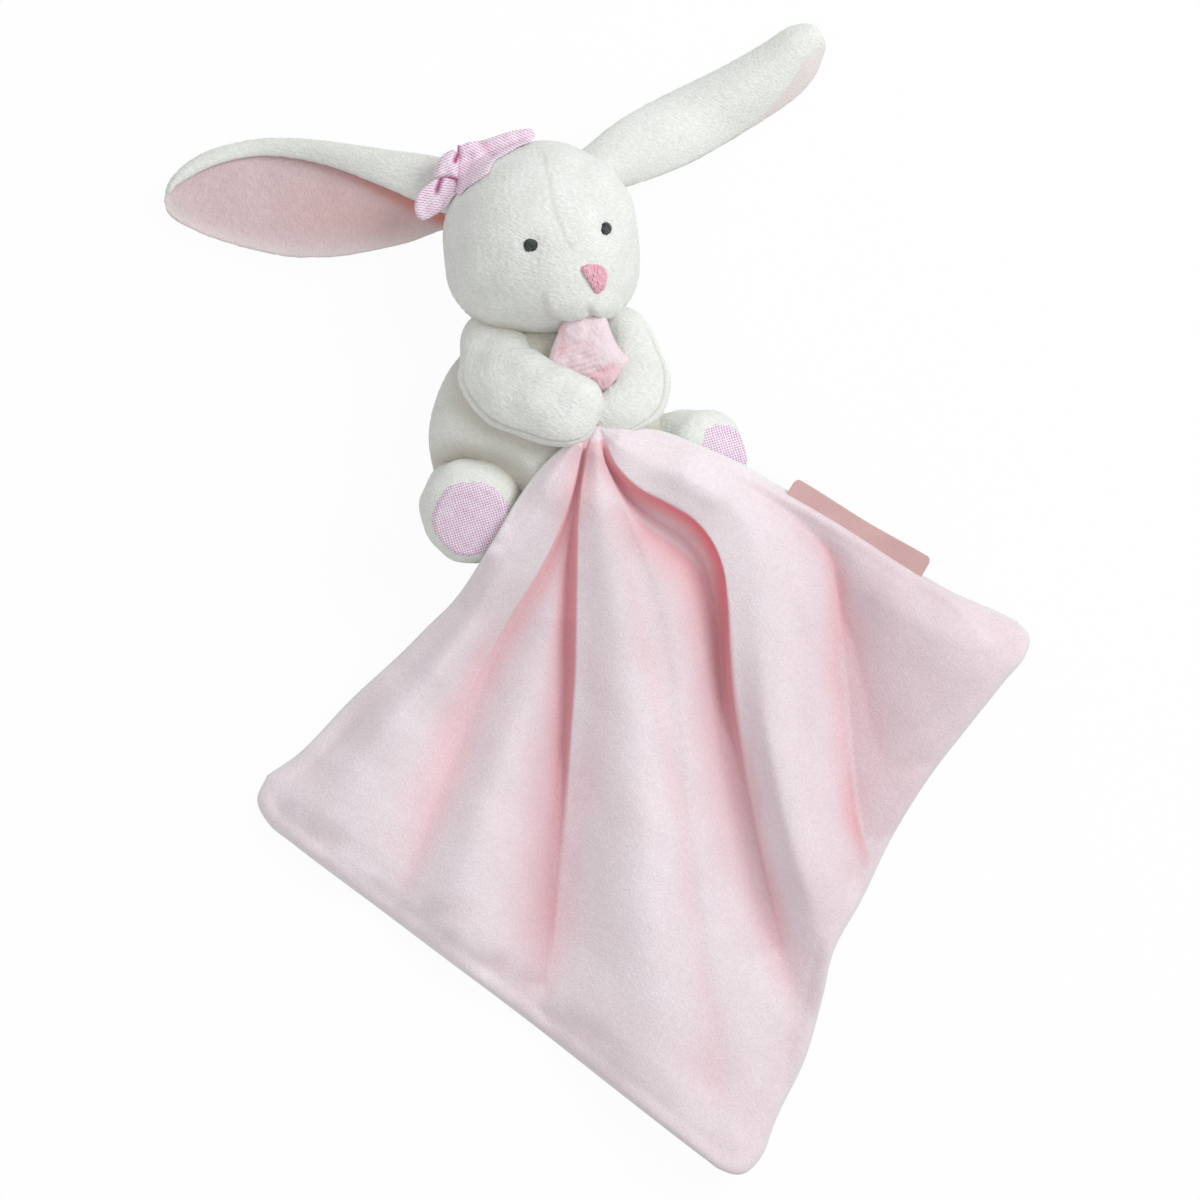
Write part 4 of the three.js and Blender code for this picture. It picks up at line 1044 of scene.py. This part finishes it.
def bow_level(flat):
    """The ribbon lies softly over the ear's root and the rounding of the head"""
    total = np.zeros(len(flat))
    under, _ = drop_on(bow_ground, flat)
    for x, y in ROUND_ABOUT:
        heights, _ = drop_on(bow_ground, flat + [x * MM, y * MM])
        total += np.maximum(heights, LOWEST_RIBBON)
    return np.maximum(total / len(ROUND_ABOUT) + 0.8 * MM, under + 0.9 * MM)


def make_bow():
    tail = make_pillow("bow_right_ribbon", BOW_TAIL, (476, 162), bow_level, 2 * MM, 1 * MM, 5,
                       BOW_TAIL_CREASES, BOW_WEAVES["right"], 41)
    end = make_pillow("bow_left_ribbon", BOW_END, (437, 198), bow_level, 1.8 * MM, 1 * MM, 6,
                      BOW_END_CREASES, BOW_WEAVES["left"], 42)
    knot = make_pillow("bow_knot_ribbon", BOW_KNOT, (448, 168), bow_level, 3.4 * MM, 1 * MM, 3,
                       BOW_KNOT_CREASES, BOW_WEAVES["knot"], 43)
    return tail, end, knot


# Blanket

PINCH = (598, 427)
GATHER_WIDTH = 9 * MM
ROUND_EDGE = 3.6 * MM
HEM = 5.5 * MM
LEFT_EDGE = [(590, 430), (572, 441), (545, 464), (520, 496), (491, 545), (456, 598), (427, 627), (399, 655),
             (350, 700), (300, 752), (266, 776)]
RIGHT_EDGE = [(606, 425), (630, 428), (660, 431), (700, 446), (748, 467), (780, 486), (850, 526), (900, 560),
              (950, 590), (1000, 612), (1018, 621)]
OUTER_EDGE = [(266, 776), (256, 801), (268, 825), (290, 843), (380, 911), (500, 1001), (620, 1094),
              (706, 1160), (720, 1170), (742, 1175), (761, 1159), (777, 1120), (806, 1060), (823, 1000),
              (835, 950), (863, 900), (892, 840), (929, 780), (975, 720), (1007, 680), (1026, 657),
              (1031, 637), (1018, 621)]
# The two lines along which a panel lies over the next one
MIDDLE_LIP = [(592, 440), (584, 480), (580, 520), (579, 560), (578, 620), (576, 680), (571, 740), (566, 800),
              (561, 860), (555, 920), (547, 985), (539, 1012)]
RIGHT_LIP = [(606, 440), (617, 463), (641, 486), (669, 500), (697, 517), (716, 540), (727, 568), (731, 605),
             (732, 650), (735, 700), (744, 760), (755, 820), (768, 880), (785, 950), (800, 1016)]
# Crests and valleys of the folds that fan out from the paws, from left to right: the pixels that each
# passes, its height in millimetres at even steps along it, and how keen it is, from 0, round, to 1, a V
FOLDS = [
    ([(570, 440), (543, 467), (492, 545), (456, 600), (399, 655), (300, 752), (266, 776)],
     [0.5, 0, 1.5, 5, 6.5, 2, 0], 0),
    ([(578, 440), (560, 468), (530, 520), (499, 572), (458, 640), (400, 712), (343, 795), (320, 840)],
     [3, 3, 2.5, 7, 12, 12, 8, 4.5], 0),
    ([(584, 440), (573, 482), (559, 525), (536, 574), (516, 606), (486, 660), (458, 738), (428, 818),
      (400, 890)],
     [2.5, 3.5, 3, 1, -1.5, -2, -1, 0, 0.5], 0),
    ([(585, 440), (576, 487), (563, 530), (541, 578), (521, 612), (490, 665), (461, 740), (430, 820),
      (402, 890)],
     [0, -2, -2.5, -2.5, -2.5, -2, -1, 0, 0.5], 0.3),
    ([(586, 440), (578, 490), (569, 540), (556, 600), (533, 680), (503, 760), (476, 840), (460, 900),
      (450, 960)],
     [-1, -2.5, -1.5, 1.5, 5, 7.5, 8.5, 8, 5], 0),
    ([(587, 440), (579, 480), (574, 520), (571, 560), (569, 620), (567, 680), (563, 760), (558, 820),
      (553, 900), (545, 980), (537, 1010)],
     [-1, -2.5, -3, -3.5, -3.5, -3.5, -4.5, -5, -4.5, -3, -1.5], 0.2),
    (MIDDLE_LIP, [2.5, 3, 3.5, 3.5, 3, 2, 0, -2.5, -3.7, -3.7, -2.6, -1.5], 0.4),
    ([(597, 440), (598, 480), (604, 530), (616, 600), (630, 700), (640, 800), (646, 900), (656, 1000),
      (668, 1080)],
     [4, 6.5, 8, 10, 11.5, 12, 11.5, 9.5, 6], 0),
    ([(600, 440), (606, 465), (622, 505), (641, 552), (664, 620), (676, 700), (686, 800), (700, 900),
      (716, 1000), (728, 1080)],
     [3, 4, 4.5, 5, 6, 5.5, 5.5, 5.5, 4.5, 3], 0),
    ([(600, 442), (606, 464), (628, 498), (656, 520), (686, 540), (703, 562), (713, 588), (718, 618),
      (721, 652), (725, 705), (735, 762), (747, 822), (761, 882), (779, 952), (796, 1018)],
     [0, -3, -4.5, -5.5, -5.5, -5, -5, -5, -5, -5, -5, -5, -4.5, -3.5, -2], 0.3),
    (RIGHT_LIP, [2, 5, 6.5, 7, 7, 6.5, 5.5, 3, 0, -3, -3.8, -4, -3.6, -3, -2], 0.5),
    ([(612, 440), (640, 462), (688, 482), (730, 508), (752, 555), (763, 640), (769, 720), (784, 800),
      (804, 870), (826, 935)],
     [4, 6.5, 7.5, 8, 9, 10.5, 11.5, 11.5, 10, 7], 0),
    ([(625, 440), (700, 466), (770, 500), (829, 555), (842, 620), (848, 700), (856, 770), (865, 830),
      (873, 868)],
     [3, 3.5, 2.5, -0.5, -4, -6, -6.5, -6.5, -5], 0.4),
    ([(640, 438), (700, 458), (780, 494), (880, 552), (950, 600), (988, 645), (1002, 670)],
     [1.5, 2.5, 3.5, 6, 9, 9.5, 6], 0),
    ([(640, 430), (700, 446), (780, 486), (850, 526), (900, 560), (950, 590), (1018, 621)],
     [0, 0, 0.5, 1, 1, 1, 0], 0),
]
# The folds' deep sides: the line, how far in millimetres the panel leans over there at even steps, how red
# # the painted shade in the cavity beside it is, how wide in millimetres, and on which side the panel lies
LIPS = [
    (MIDDLE_LIP[:10], [0.2, 0.4, 0.6, 0.6, 0.5, 0.4, 0.2, 0, 0, 0],
     [0.2, 0.36, 0.52, 0.54, 0.52, 0.46, 0.4, 0.32, 0.24, 0.12], 6, 1),
    ([(584, 440), (573, 482), (559, 525), (536, 574), (516, 606), (486, 660), (460, 710), (435, 790)],
     [0, 0.5, 0.6, 0.3, 0, 0, 0, 0], [0.3, 0.4, 0.42, 0.35, 0.3, 0.25, 0.15, 0], 6, -1),
    (RIGHT_LIP[:12], [0.3, 1, 1.4, 1.6, 1.6, 1.4, 1, 0.5, 0.1, 0, 0, 0],
     [0.3, 0.64, 0.84, 0.92, 0.92, 0.84, 0.7, 0.58, 0.48, 0.36, 0.24, 0.12], 5, 1),
    ([(620, 500), (645, 525), (675, 545), (700, 570), (712, 610), (716, 660)], [0],
     [0.1, 0.3, 0.34, 0.32, 0.25, 0.1], 9, 1),
    ([(734, 600), (735, 640), (738, 700), (747, 760), (757, 820), (768, 880)], [0],
     [0.1, 0.26, 0.26, 0.24, 0.2, 0.1], 12, 1),
    ([(567, 700), (570, 760), (565, 820), (560, 880), (554, 930), (548, 980)], [0],
     [0, 0.16, 0.2, 0.2, 0.16, 0.05], 12, 1),
    ([(848, 700), (852, 760), (858, 815), (866, 845), (872, 866)], [0], [0, 0.12, 0.3, 0.4, 0.1], 4, 1),
]
# Beside these lines the blanket gets darker painted shade: how much at even steps, how far in millimetres,
# and the side
PAINTED_SHADE_LINES = [
    (RIGHT_LIP[6:14], [0.1, 0.4, 0.5, 0.5, 0.48, 0.44, 0.36, 0.2], 11, 1),
    (MIDDLE_LIP[4:11], [0.15, 0.3, 0.4, 0.5, 0.55, 0.5, 0.25], 11, 1),
    ([(820, 540), (838, 590), (844, 640), (850, 700), (856, 770), (866, 840)],
     [0.05, 0.2, 0.26, 0.28, 0.28, 0.2], 22, -1),
]
LIP_STEPS = 80
FOLD_STEPS = 120

# How the cloth is carried: at the paws, down from them, and as far as it sags
PAW_HEIGHT = 45.5 * MM
PAW_REACH = 9 * MM
LEAVES_PAWS_AT = 47 * MM
LEAVES_PAWS_SLOPE = 0.45
SAG_PER_STEP = 0.006 * MM
SAG_STEPS = 1400


def base_heights():
    """Underside of a cloth that lies on the toy and the surface round it"""
    step = 1.5 * MM
    low = from_photo((200, 1220))
    high = from_photo((1060, 380))
    xs = np.arange(low[0], high[0], step)
    ys = np.arange(low[1], high[1], step)
    grid = np.stack(np.meshgrid(xs, ys, indexing="ij"), axis=-1)
    places = grid.reshape(-1, 2)
    support = np.zeros(len(places))
    for tree in covered:
        support = np.maximum(support, drop_on(tree, places)[0])
    support = support.reshape(grid.shape[:2])
    from_pinch = np.linalg.norm(grid - from_photo(PINCH), axis=-1)
    support = np.where(from_pinch < PAW_REACH, np.maximum(support, PAW_HEIGHT), support)
    height = np.maximum(support, LEAVES_PAWS_AT - LEAVES_PAWS_SLOPE * from_pinch)
    for _ in range(SAG_STEPS):
        around = (
            np.roll(height, 1, 0) + np.roll(height, -1, 0) + np.roll(height, 1, 1) + np.roll(height, -1, 1)
        ) / 4
        height = np.maximum(support, around - SAG_PER_STEP)
    return xs, ys, height, support


def sample(xs, ys, table, places):
    """The height of a table of heights at flat places, between its points too"""
    column = np.clip((places[:, 0] - xs[0]) / (xs[1] - xs[0]), 0, len(xs) - 1.001)
    row = np.clip((places[:, 1] - ys[0]) / (ys[1] - ys[0]), 0, len(ys) - 1.001)
    i, j = column.astype(int), row.astype(int)
    u, v = column - i, row - j
    return (table[i, j] * (1 - u) * (1 - v) + table[i + 1, j] * u * (1 - v)
            + table[i, j + 1] * (1 - u) * v + table[i + 1, j + 1] * u * v)


def blanket_places(rays, rings):
    """Flat places on rays that fan out from the paws to the outer edge"""
    ray = np.linspace(0, 1, rays)
    ray = ray - 0.024 * np.sin(2 * np.pi * ray)
    reach = np.linspace(0, 1, rings) ** 1.15
    outer = spline(from_photo(OUTER_EDGE), 2000)
    outer = np.stack([np.interp(ray, np.linspace(0, 1, 2000), column) for column in outer.T], axis=1)
    start = from_photo(PINCH) + np.outer((ray - 0.5) * GATHER_WIDTH, [1, -0.15])
    straight = start[None] + reach[:, None, None] * (outer - start)[None]
    offsets = []
    for edge, end in ((LEFT_EDGE, 0), (RIGHT_EDGE, -1)):
        line = spline(from_photo(edge), 800)
        curve = np.stack([np.interp(reach, np.linspace(0, 1, 800), column) for column in line.T], axis=1)
        offsets.append(curve - straight[:, end])
    left_share = (1 - smooth(ray / 0.3))[None, :, None]
    right_share = smooth(1 - (1 - ray) / 0.3)[None, :, None]
    return straight + offsets[0][:, None] * left_share + offsets[1][:, None] * right_share


def fan_heights(places):
    """Height of the folds: a soft wave from each line of the fan to the next one"""
    pinch = from_photo(PINCH)
    away = places - pinch
    reach = np.linalg.norm(away, axis=1)
    bearing = np.arctan2(away[:, 0], -away[:, 1])
    turns, levels, keen = [], [], []
    for pixels, sizes, keenness in FOLDS:
        route = spline(from_photo(pixels), FOLD_STEPS) - pinch
        far = np.maximum.accumulate(np.linalg.norm(route, axis=1))
        turn = np.arctan2(route[:, 0], -route[:, 1])
        turns.append(np.interp(reach, far, turn))
        size = np.interp(np.linspace(0, 1, FOLD_STEPS), np.linspace(0, 1, len(sizes)), sizes)
        levels.append(np.interp(reach, far, size) * MM)
        keen.append(keenness)
    turns = np.maximum.accumulate(np.array(turns) + 1e-5 * np.arange(len(turns))[:, None], axis=0)
    levels = np.array(levels)
    height = np.where(bearing <= turns[0], levels[0], levels[-1])
    for i in range(len(turns) - 1):
        inside = (bearing > turns[i]) & (bearing <= turns[i + 1])
        share = np.clip((bearing - turns[i]) / np.maximum(turns[i + 1] - turns[i], 1e-5), 0, 1)
        wave = smooth(share)
        wave = wave + keen[i] * (1 - (1 - share) ** 2 - wave)
        wave = wave + keen[i + 1] * (share ** 2 - wave)
        height = np.where(inside, levels[i] + (levels[i + 1] - levels[i]) * wave, height)
    return height * smooth(reach / (10 * MM))


def cavity_marks(places, route, depths, wide, side):
    """How deep a place lies in the cavity beside a line"""
    away, along = near_route(places, route)
    away = away * side
    cavity = hump(np.maximum(-away - 1 * MM, 0), wide * MM) * smooth(0.5 - away / (1 * MM))
    depth = np.interp(along, np.linspace(0, 1, len(depths)), depths)
    return depth * cavity * (along < 1) * (along > 0)


def lip_shapes(places):
    """Shift of the cloth where a panel leans over the next one, and how deep in the fold a place lies"""
    shift = np.zeros((len(places), 2))
    crease = np.zeros(len(places))
    for pixels, leans, depths, wide, side in LIPS:
        route = spline(from_photo(pixels), LIP_STEPS)
        away, along = near_route(places, route)
        away = away * side
        lean = np.interp(along, np.linspace(0, 1, len(leans)), leans) * MM
        heading = unit(np.gradient(route, axis=0)) * side
        nearest = (along * (LIP_STEPS - 1)).round().astype(int)
        over = np.stack([heading[nearest, 1], -heading[nearest, 0]], axis=1)
        shift += over * (lean * hump(away - 0.8 * MM, 2.2 * MM))[:, None]
        crease = np.maximum(crease, cavity_marks(places, route, depths, wide, side))
    return shift, crease


def painted_shade_on_blanket(places):
    """Painted shade on the blanket: beside some folds, and more towards two corners"""
    total = np.zeros(len(places))
    for pixels, depths, wide, side in PAINTED_SHADE_LINES:
        route = spline(from_photo(pixels), LIP_STEPS)
        total = np.maximum(total, cavity_marks(places, route, depths, wide, side))
    right = smooth((places[:, 0] - from_photo((740, 0))[0]) / (32 * MM))
    low = smooth((from_photo((0, 960))[1] - places[:, 1]) / (40 * MM))
    return total + 0.17 * right + 0.12 * low * (1 - right)


def edge_distance(places):
    """How far inside the blanket's edge a place lies"""
    outline = np.vstack([
        spline(from_photo(LEFT_EDGE), 90), spline(from_photo(OUTER_EDGE), 200),
        spline(from_photo(RIGHT_EDGE), 90)[::-1],
    ])
    away, _ = near_route(places, outline)
    return np.abs(away)


def valley_depth(height, rays, rings):
    """How deep each place lies below the softened surface round it, from 0 to 1"""
    shallow = height.reshape(rings, rays)
    for _ in range(70):
        padded = np.pad(shallow, 1, mode="edge")
        shallow = (padded[:-2, 1:-1] + padded[2:, 1:-1] + padded[1:-1, :-2] + padded[1:-1, 2:]) / 4
    return np.clip((shallow.ravel() - height) / (3 * MM), 0, 1)


def closed_cloth(name, upper, lower, rays, rings, finish):
    """A layer of cloth between two surfaces of the same rows of points"""
    count = rays * rings
    faces = grid_faces(rings, rays, wrap=False, flip=True)
    faces += grid_faces(rings, rays, wrap=False, first=count)
    border = list(range(rays))
    border += [i * rays + rays - 1 for i in range(1, rings)]
    border += [(rings - 1) * rays + j for j in range(rays - 2, -1, -1)]
    border += [i * rays for i in range(rings - 2, 0, -1)]
    for a, b in zip(border, border[1:] + border[:1]):
        faces.append((a, b, count + b, count + a))
    piece = make_piece(name, np.vstack([upper, lower]), faces, finish)
    face_outwards(piece)
    return piece


def make_blanket():
    """Pink velour above and white velour below, sewn together round the edge and puffed up between"""
    rays, rings = 280, 176
    places = blanket_places(rays, rings).reshape(-1, 2)
    xs, ys, base, support = base_heights()
    lying = sample(xs, ys, base, places)
    floor = sample(xs, ys, support, places)
    from_pinch = np.linalg.norm(places - from_photo(PINCH), axis=1)
    inside = edge_distance(places)
    shift, crease = lip_shapes(places)
    slack = 4 * MM * smooth(from_pinch / (40 * MM)) * smooth(inside / (16 * MM))
    level = np.column_stack([places, np.zeros(len(places))])
    lower_left = smooth((from_photo((0, 700))[1] - places[:, 1]) / (30 * MM))
    lower_left *= smooth((from_photo((640, 0))[0] - places[:, 0]) / (30 * MM))
    uneven = 0.22 * MM * lumps(level, 26 * MM, 8)
    uneven += 0.8 * MM * lumps(level, 13 * MM, 9) * hump(inside - 7 * MM, 6 * MM) * (0.4 + 0.6 * lower_left)
    height = np.maximum(lying + slack + fan_heights(places) + uneven, floor)
    hollow = valley_depth(height, rays, rings)
    hollow *= smooth(from_pinch / (25 * MM)) * smooth((inside - 2 * MM) / (14 * MM))
    # Painted shade, redder, in the valleys of the folds
    crease = np.maximum(crease, 0.36 * hollow)
    thin = 0.55 + 0.45 * smooth(from_pinch / (25 * MM))
    plump = CLOTH_THICKNESS / 2 * thin * np.sqrt(1 - (1 - np.clip(inside / ROUND_EDGE, 0, 1)) ** 2)
    dip = -0.25 * MM * hump(inside - HEM, 1.2 * MM) * smooth(from_pinch / (20 * MM))
    middle = height + CLOTH_THICKNESS / 2 + 0.3 * MM
    flat = places + shift
    top = np.column_stack([flat, middle + plump + dip])
    seam = np.column_stack([flat, middle])
    under = np.column_stack([flat, middle - plump])
    # Marks for the pile: painted shade in folds, valleys, beside some lips and towards two corners, and a
    # whiter rim
    marks = {"fold": crease, "rim": 0.85 * hump(inside, 1.1 * MM), "painted_valley_shade": painted_shade_on_blanket(places)}
    pieces = []
    for name, upper, lower, finish in (
        ("blanket_pink_velour", top, seam, PINK_VELOUR),
        ("blanket_white_velour", seam - [0, 0, 0.05 * MM], under, WHITE_VELOUR),
    ):
        piece = closed_cloth(name, upper, lower, rays, rings, finish)
        for mark_name, values in marks.items():
            mark(piece, mark_name, np.concatenate([values, values]))
        pieces.append(piece)
    return pieces


# Label

LABEL_LINE = [(788, 492), (924, 573)]
LABEL_WIDTH = 5.2 * MM
LABEL_CORNER = 1.8 * MM


def make_label():
    """A folded ribbon with rounded corners, whose raw edge is sewn in between the two velours"""
    start, end = from_photo(LABEL_LINE)
    aim = unit(end - start)
    outward = np.array([-aim[1], aim[0]])
    length = np.linalg.norm(end - start)
    blanket_top = surface_of(blanket_pink)
    loops = []
    for t in np.linspace(0, 1, 90):
        missing = np.clip(LABEL_CORNER - min(t, 1 - t) * length, 0, LABEL_CORNER)
        width = LABEL_WIDTH - (LABEL_CORNER - math.sqrt(LABEL_CORNER ** 2 - missing ** 2))
        width += 0.25 * MM * math.sin(t * 7 + 1)
        base = start + aim * t * length
        over, _ = drop_on(blanket_top, [base - outward * 2.5 * MM])
        height = over[0] - 2.4 * MM
        wave = 0.4 * MM * math.sin(t * 9) - 0.6 * MM
        v = np.linspace(0, 1, 14)
        upper = np.column_stack([base + np.outer(v * width - 2 * MM * (1 - v), outward), height + wave * v])
        lower = upper[::-1] - [0, 0, 0.6 * MM]
        loops.append(np.vstack([upper, lower]))
    return make_strip("label_ribbon", loops, LABEL_SATIN)


# Put together

torso = make_torso()
head = make_head()
left_arm = make_arm("left_arm_skin", LEFT_ARM_PATH, LEFT_ARM_RADII, 152, 11)
right_arm = make_arm("right_arm_skin", RIGHT_ARM_PATH, RIGHT_ARM_RADII, 28, 12)
tuft = make_tuft()
left_leg = make_leg("left_leg_skin", LEFT_HIP, LEFT_AIM, 21)
right_leg = make_leg("right_leg_skin", RIGHT_HIP, RIGHT_AIM, 22)
left_sole = make_sole("left_sole_cotton", LEFT_HIP, LEFT_AIM)
right_sole = make_sole("right_sole_cotton", RIGHT_HIP, RIGHT_AIM)
left_ear_back, left_ear_lining = make_left_ear()
right_ear_back, right_ear_lining = make_right_ear()

face = surface_of(head)
left_eye = make_stitches(
    "left_eye_thread", eye_outline(LEFT_EYE, 13, 12, 2), face, 0.8 * MM, math.radians(25), 0.3 * MM,
    DARK_THREAD)
right_eye = make_stitches(
    "right_eye_thread", eye_outline(RIGHT_EYE, 9, 12, 5), face, 0.8 * MM, math.radians(35), 0.3 * MM,
    DARK_THREAD)
nose = make_stitches(
    "nose_thread", NOSE, face, 1.2 * MM, math.radians(102), 0.34 * MM, PINK_THREAD)

bow_ground = surface_of(head, left_ear_back)
bow_right, bow_left, bow_knot = make_bow()

joints = {joint["name"]: joint for joint in frame["joints"]}


def swung_leg(piece, joint_name, share):
    """The mesh of a leg where its joint has turned by a share of its range"""
    joint = joints[joint_name]
    at = Vector(joint["pos_m"])
    swing = Matrix.Rotation(math.radians(joint["range_deg"][1]) * share, 4, Vector(joint["axis"]))
    turn = Matrix.Translation(at) @ swing @ Matrix.Translation(-at)
    points = [turn @ v.co for v in piece.data.vertices]
    faces = [list(p.vertices) for p in piece.data.polygons]
    return BVHTree.FromPolygons(points, faces)


# The blanket clears the body, and each leg at rest, half way and at its limit
covered = [surface_of(torso)]
covered += [swung_leg(left_leg, "left_hip_swing", share) for share in (0, 0.5, 1)]
covered += [swung_leg(right_leg, "right_hip_swing", share) for share in (0, 0.5, 1)]
blanket_pink, blanket_white = make_blanket()
label = make_label()

# Painted shade on the plush where pieces lie close together: how far off this starts, and how much
for piece, others, reach, amount in (
    (torso, (left_arm, right_arm, left_leg, right_leg), 7 * MM, 0.6),
    (head, (left_arm, right_arm), 4 * MM, 0.7),
    (left_leg, (torso,), 5 * MM, 0.5),
):
    shade_between_parts = amount * nearness(points_of(piece), others, reach)
    folds = piece.data.attributes["fold"].data
    known = np.empty(len(shade_between_parts), np.float32)
    folds.foreach_get("value", known)
    folds.foreach_set("value", np.maximum(known, shade_between_parts).astype(np.float32))


# What each piece stands for and moves with

def settle(piece, body, slot, *nodes):
    """A piece that moves with one body"""
    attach(piece, body)
    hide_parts(*nodes)


def bend(piece, start, end, node):
    """A soft piece that stays as it lies, in place of a part"""
    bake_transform(piece)
    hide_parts(node)


settle(torso, "torso", "plush", "body_back_panel", "body_front_panel", "body_stuffing")
settle(head, "head", "plush", "head_left_panel", "head_right_panel", "head_stuffing")
settle(left_eye, "head", "dark_thread", "left_eye")
settle(right_eye, "head", "dark_thread", "right_eye")
settle(nose, "head", "pink_thread", "nose")
settle(bow_knot, "head", "woven_cotton", "bow_knot")
settle(bow_left, "head", "woven_cotton", "bow_left_end")
settle(bow_right, "head", "woven_cotton", "bow_right_end")
settle(left_arm, "arms", "plush", "left_arm_cover", "left_arm_stuffing")
settle(right_arm, "arms", "plush", "right_arm_cover", "right_arm_stuffing")
settle(tuft, "arms", "pink_velour", "blanket_tuft")
settle(left_leg, "left_leg", "plush", "left_leg_cover", "left_leg_stuffing")
settle(right_leg, "right_leg", "plush", "right_leg_cover", "right_leg_stuffing")
settle(left_sole, "left_leg", "woven_cotton", "left_sole_pad")
settle(right_sole, "right_leg", "woven_cotton", "right_sole_pad")
settle(label, "label", "label_satin", "label")

EAR_BEND = 9 * MM
for side, direction, back, lining in (
    ("left", (-1, 0, 0), left_ear_back, left_ear_lining),
    ("right", (0.84, 0.54, 0), right_ear_back, right_ear_lining),
):
    at = np.array(joints[f"{side}_ear_lift"]["pos_m"])
    reach = unit(direction) * EAR_BEND
    for piece, slot, node in ((back, "plush", "back"), (lining, "ear_lining", "lining")):
        bend(piece, at - reach, at + reach, f"{side}_ear_{node}")

GRIP_BEND = (2 * MM, 24 * MM)
grip = np.array(joints["blanket_lift"]["pos_m"])
for piece, slot, node in (
    (blanket_pink, "pink_velour", "blanket_front"), (blanket_white, "white_velour", "blanket_back"),
):
    near, far = (grip - [0, below, 0] for below in GRIP_BEND)
    bend(piece, near, far, node)


# Stage

def make_floor():
    """Pale, with the shadow of the toy; the camera sees it nearly white"""
    finish = Finish("pale_floor", roughness=0.9)
    seen_by_camera = finish.node("LightPath", {}, {}, "Is Camera Ray")
    white = finish.node("Emission", {}, {"Color": (1, 1, 1, 1), "Strength": 1.0})
    finish.paint((0.93, 0.93, 0.93, 1))
    lit = Value(finish, finish.shader.outputs[0])
    shown = finish.node("MixShader", {}, {0: seen_by_camera * 0.95, 1: lit, 2: white})
    finish.plug(shown, finish.tree.nodes["Material Output"].inputs["Surface"])
    half = 1.6
    corners = [(-half, -half, 0), (half, -half, 0), (half, half, 0), (-half, half, 0)]
    floor = make_piece("floor", corners, [(0, 1, 2, 3)], finish.material)


def make_light(name, size, power, place, aim):
    light = bpy.data.lights.new(name, "AREA")
    light.color = (0.965, 1, 0.995)
    light.shape = "DISK"
    light.size = size
    light.energy = power
    lamp = bpy.data.objects.new(name, light)
    lamp.location = place
    lamp.rotation_euler = (Vector(aim) - Vector(place)).to_track_quat("-Z", "Y").to_euler()
    bpy.context.scene.collection.objects.link(lamp)


def make_camera():
    """Straight above, far enough that heights hardly shift in the picture"""
    centre = from_photo((600, 600))
    sharp_height = 20 * MM
    distance = 5
    camera = bpy.data.cameras.new("camera")
    camera.sensor_width = 36
    camera.lens = 36 * distance / (1200 * PIXEL)
    camera.clip_end = 20
    eye = bpy.data.objects.new("camera", camera)
    eye.location = (centre[0], centre[1], distance + sharp_height)
    bpy.context.scene.collection.objects.link(eye)
    bpy.context.scene.camera = eye


make_floor()
middle = (float(TORSO[0]), float(TORSO[1]), 0)
make_light("key", 0.9, 14.8, (1.02, 0.65, 1.2), middle)
make_light("fill", 1.2, 2.2, (-0.7, -0.2, 1.4), middle)
make_camera()

world = bpy.data.worlds.new("studio")
bpy.context.scene.world = world
world.use_nodes = True
world.node_tree.nodes["Background"].inputs["Color"].default_value = (1, 1, 1, 1)
world.node_tree.nodes["Background"].inputs["Strength"].default_value = 0.53
bpy.context.scene.view_settings.view_transform = "Standard"
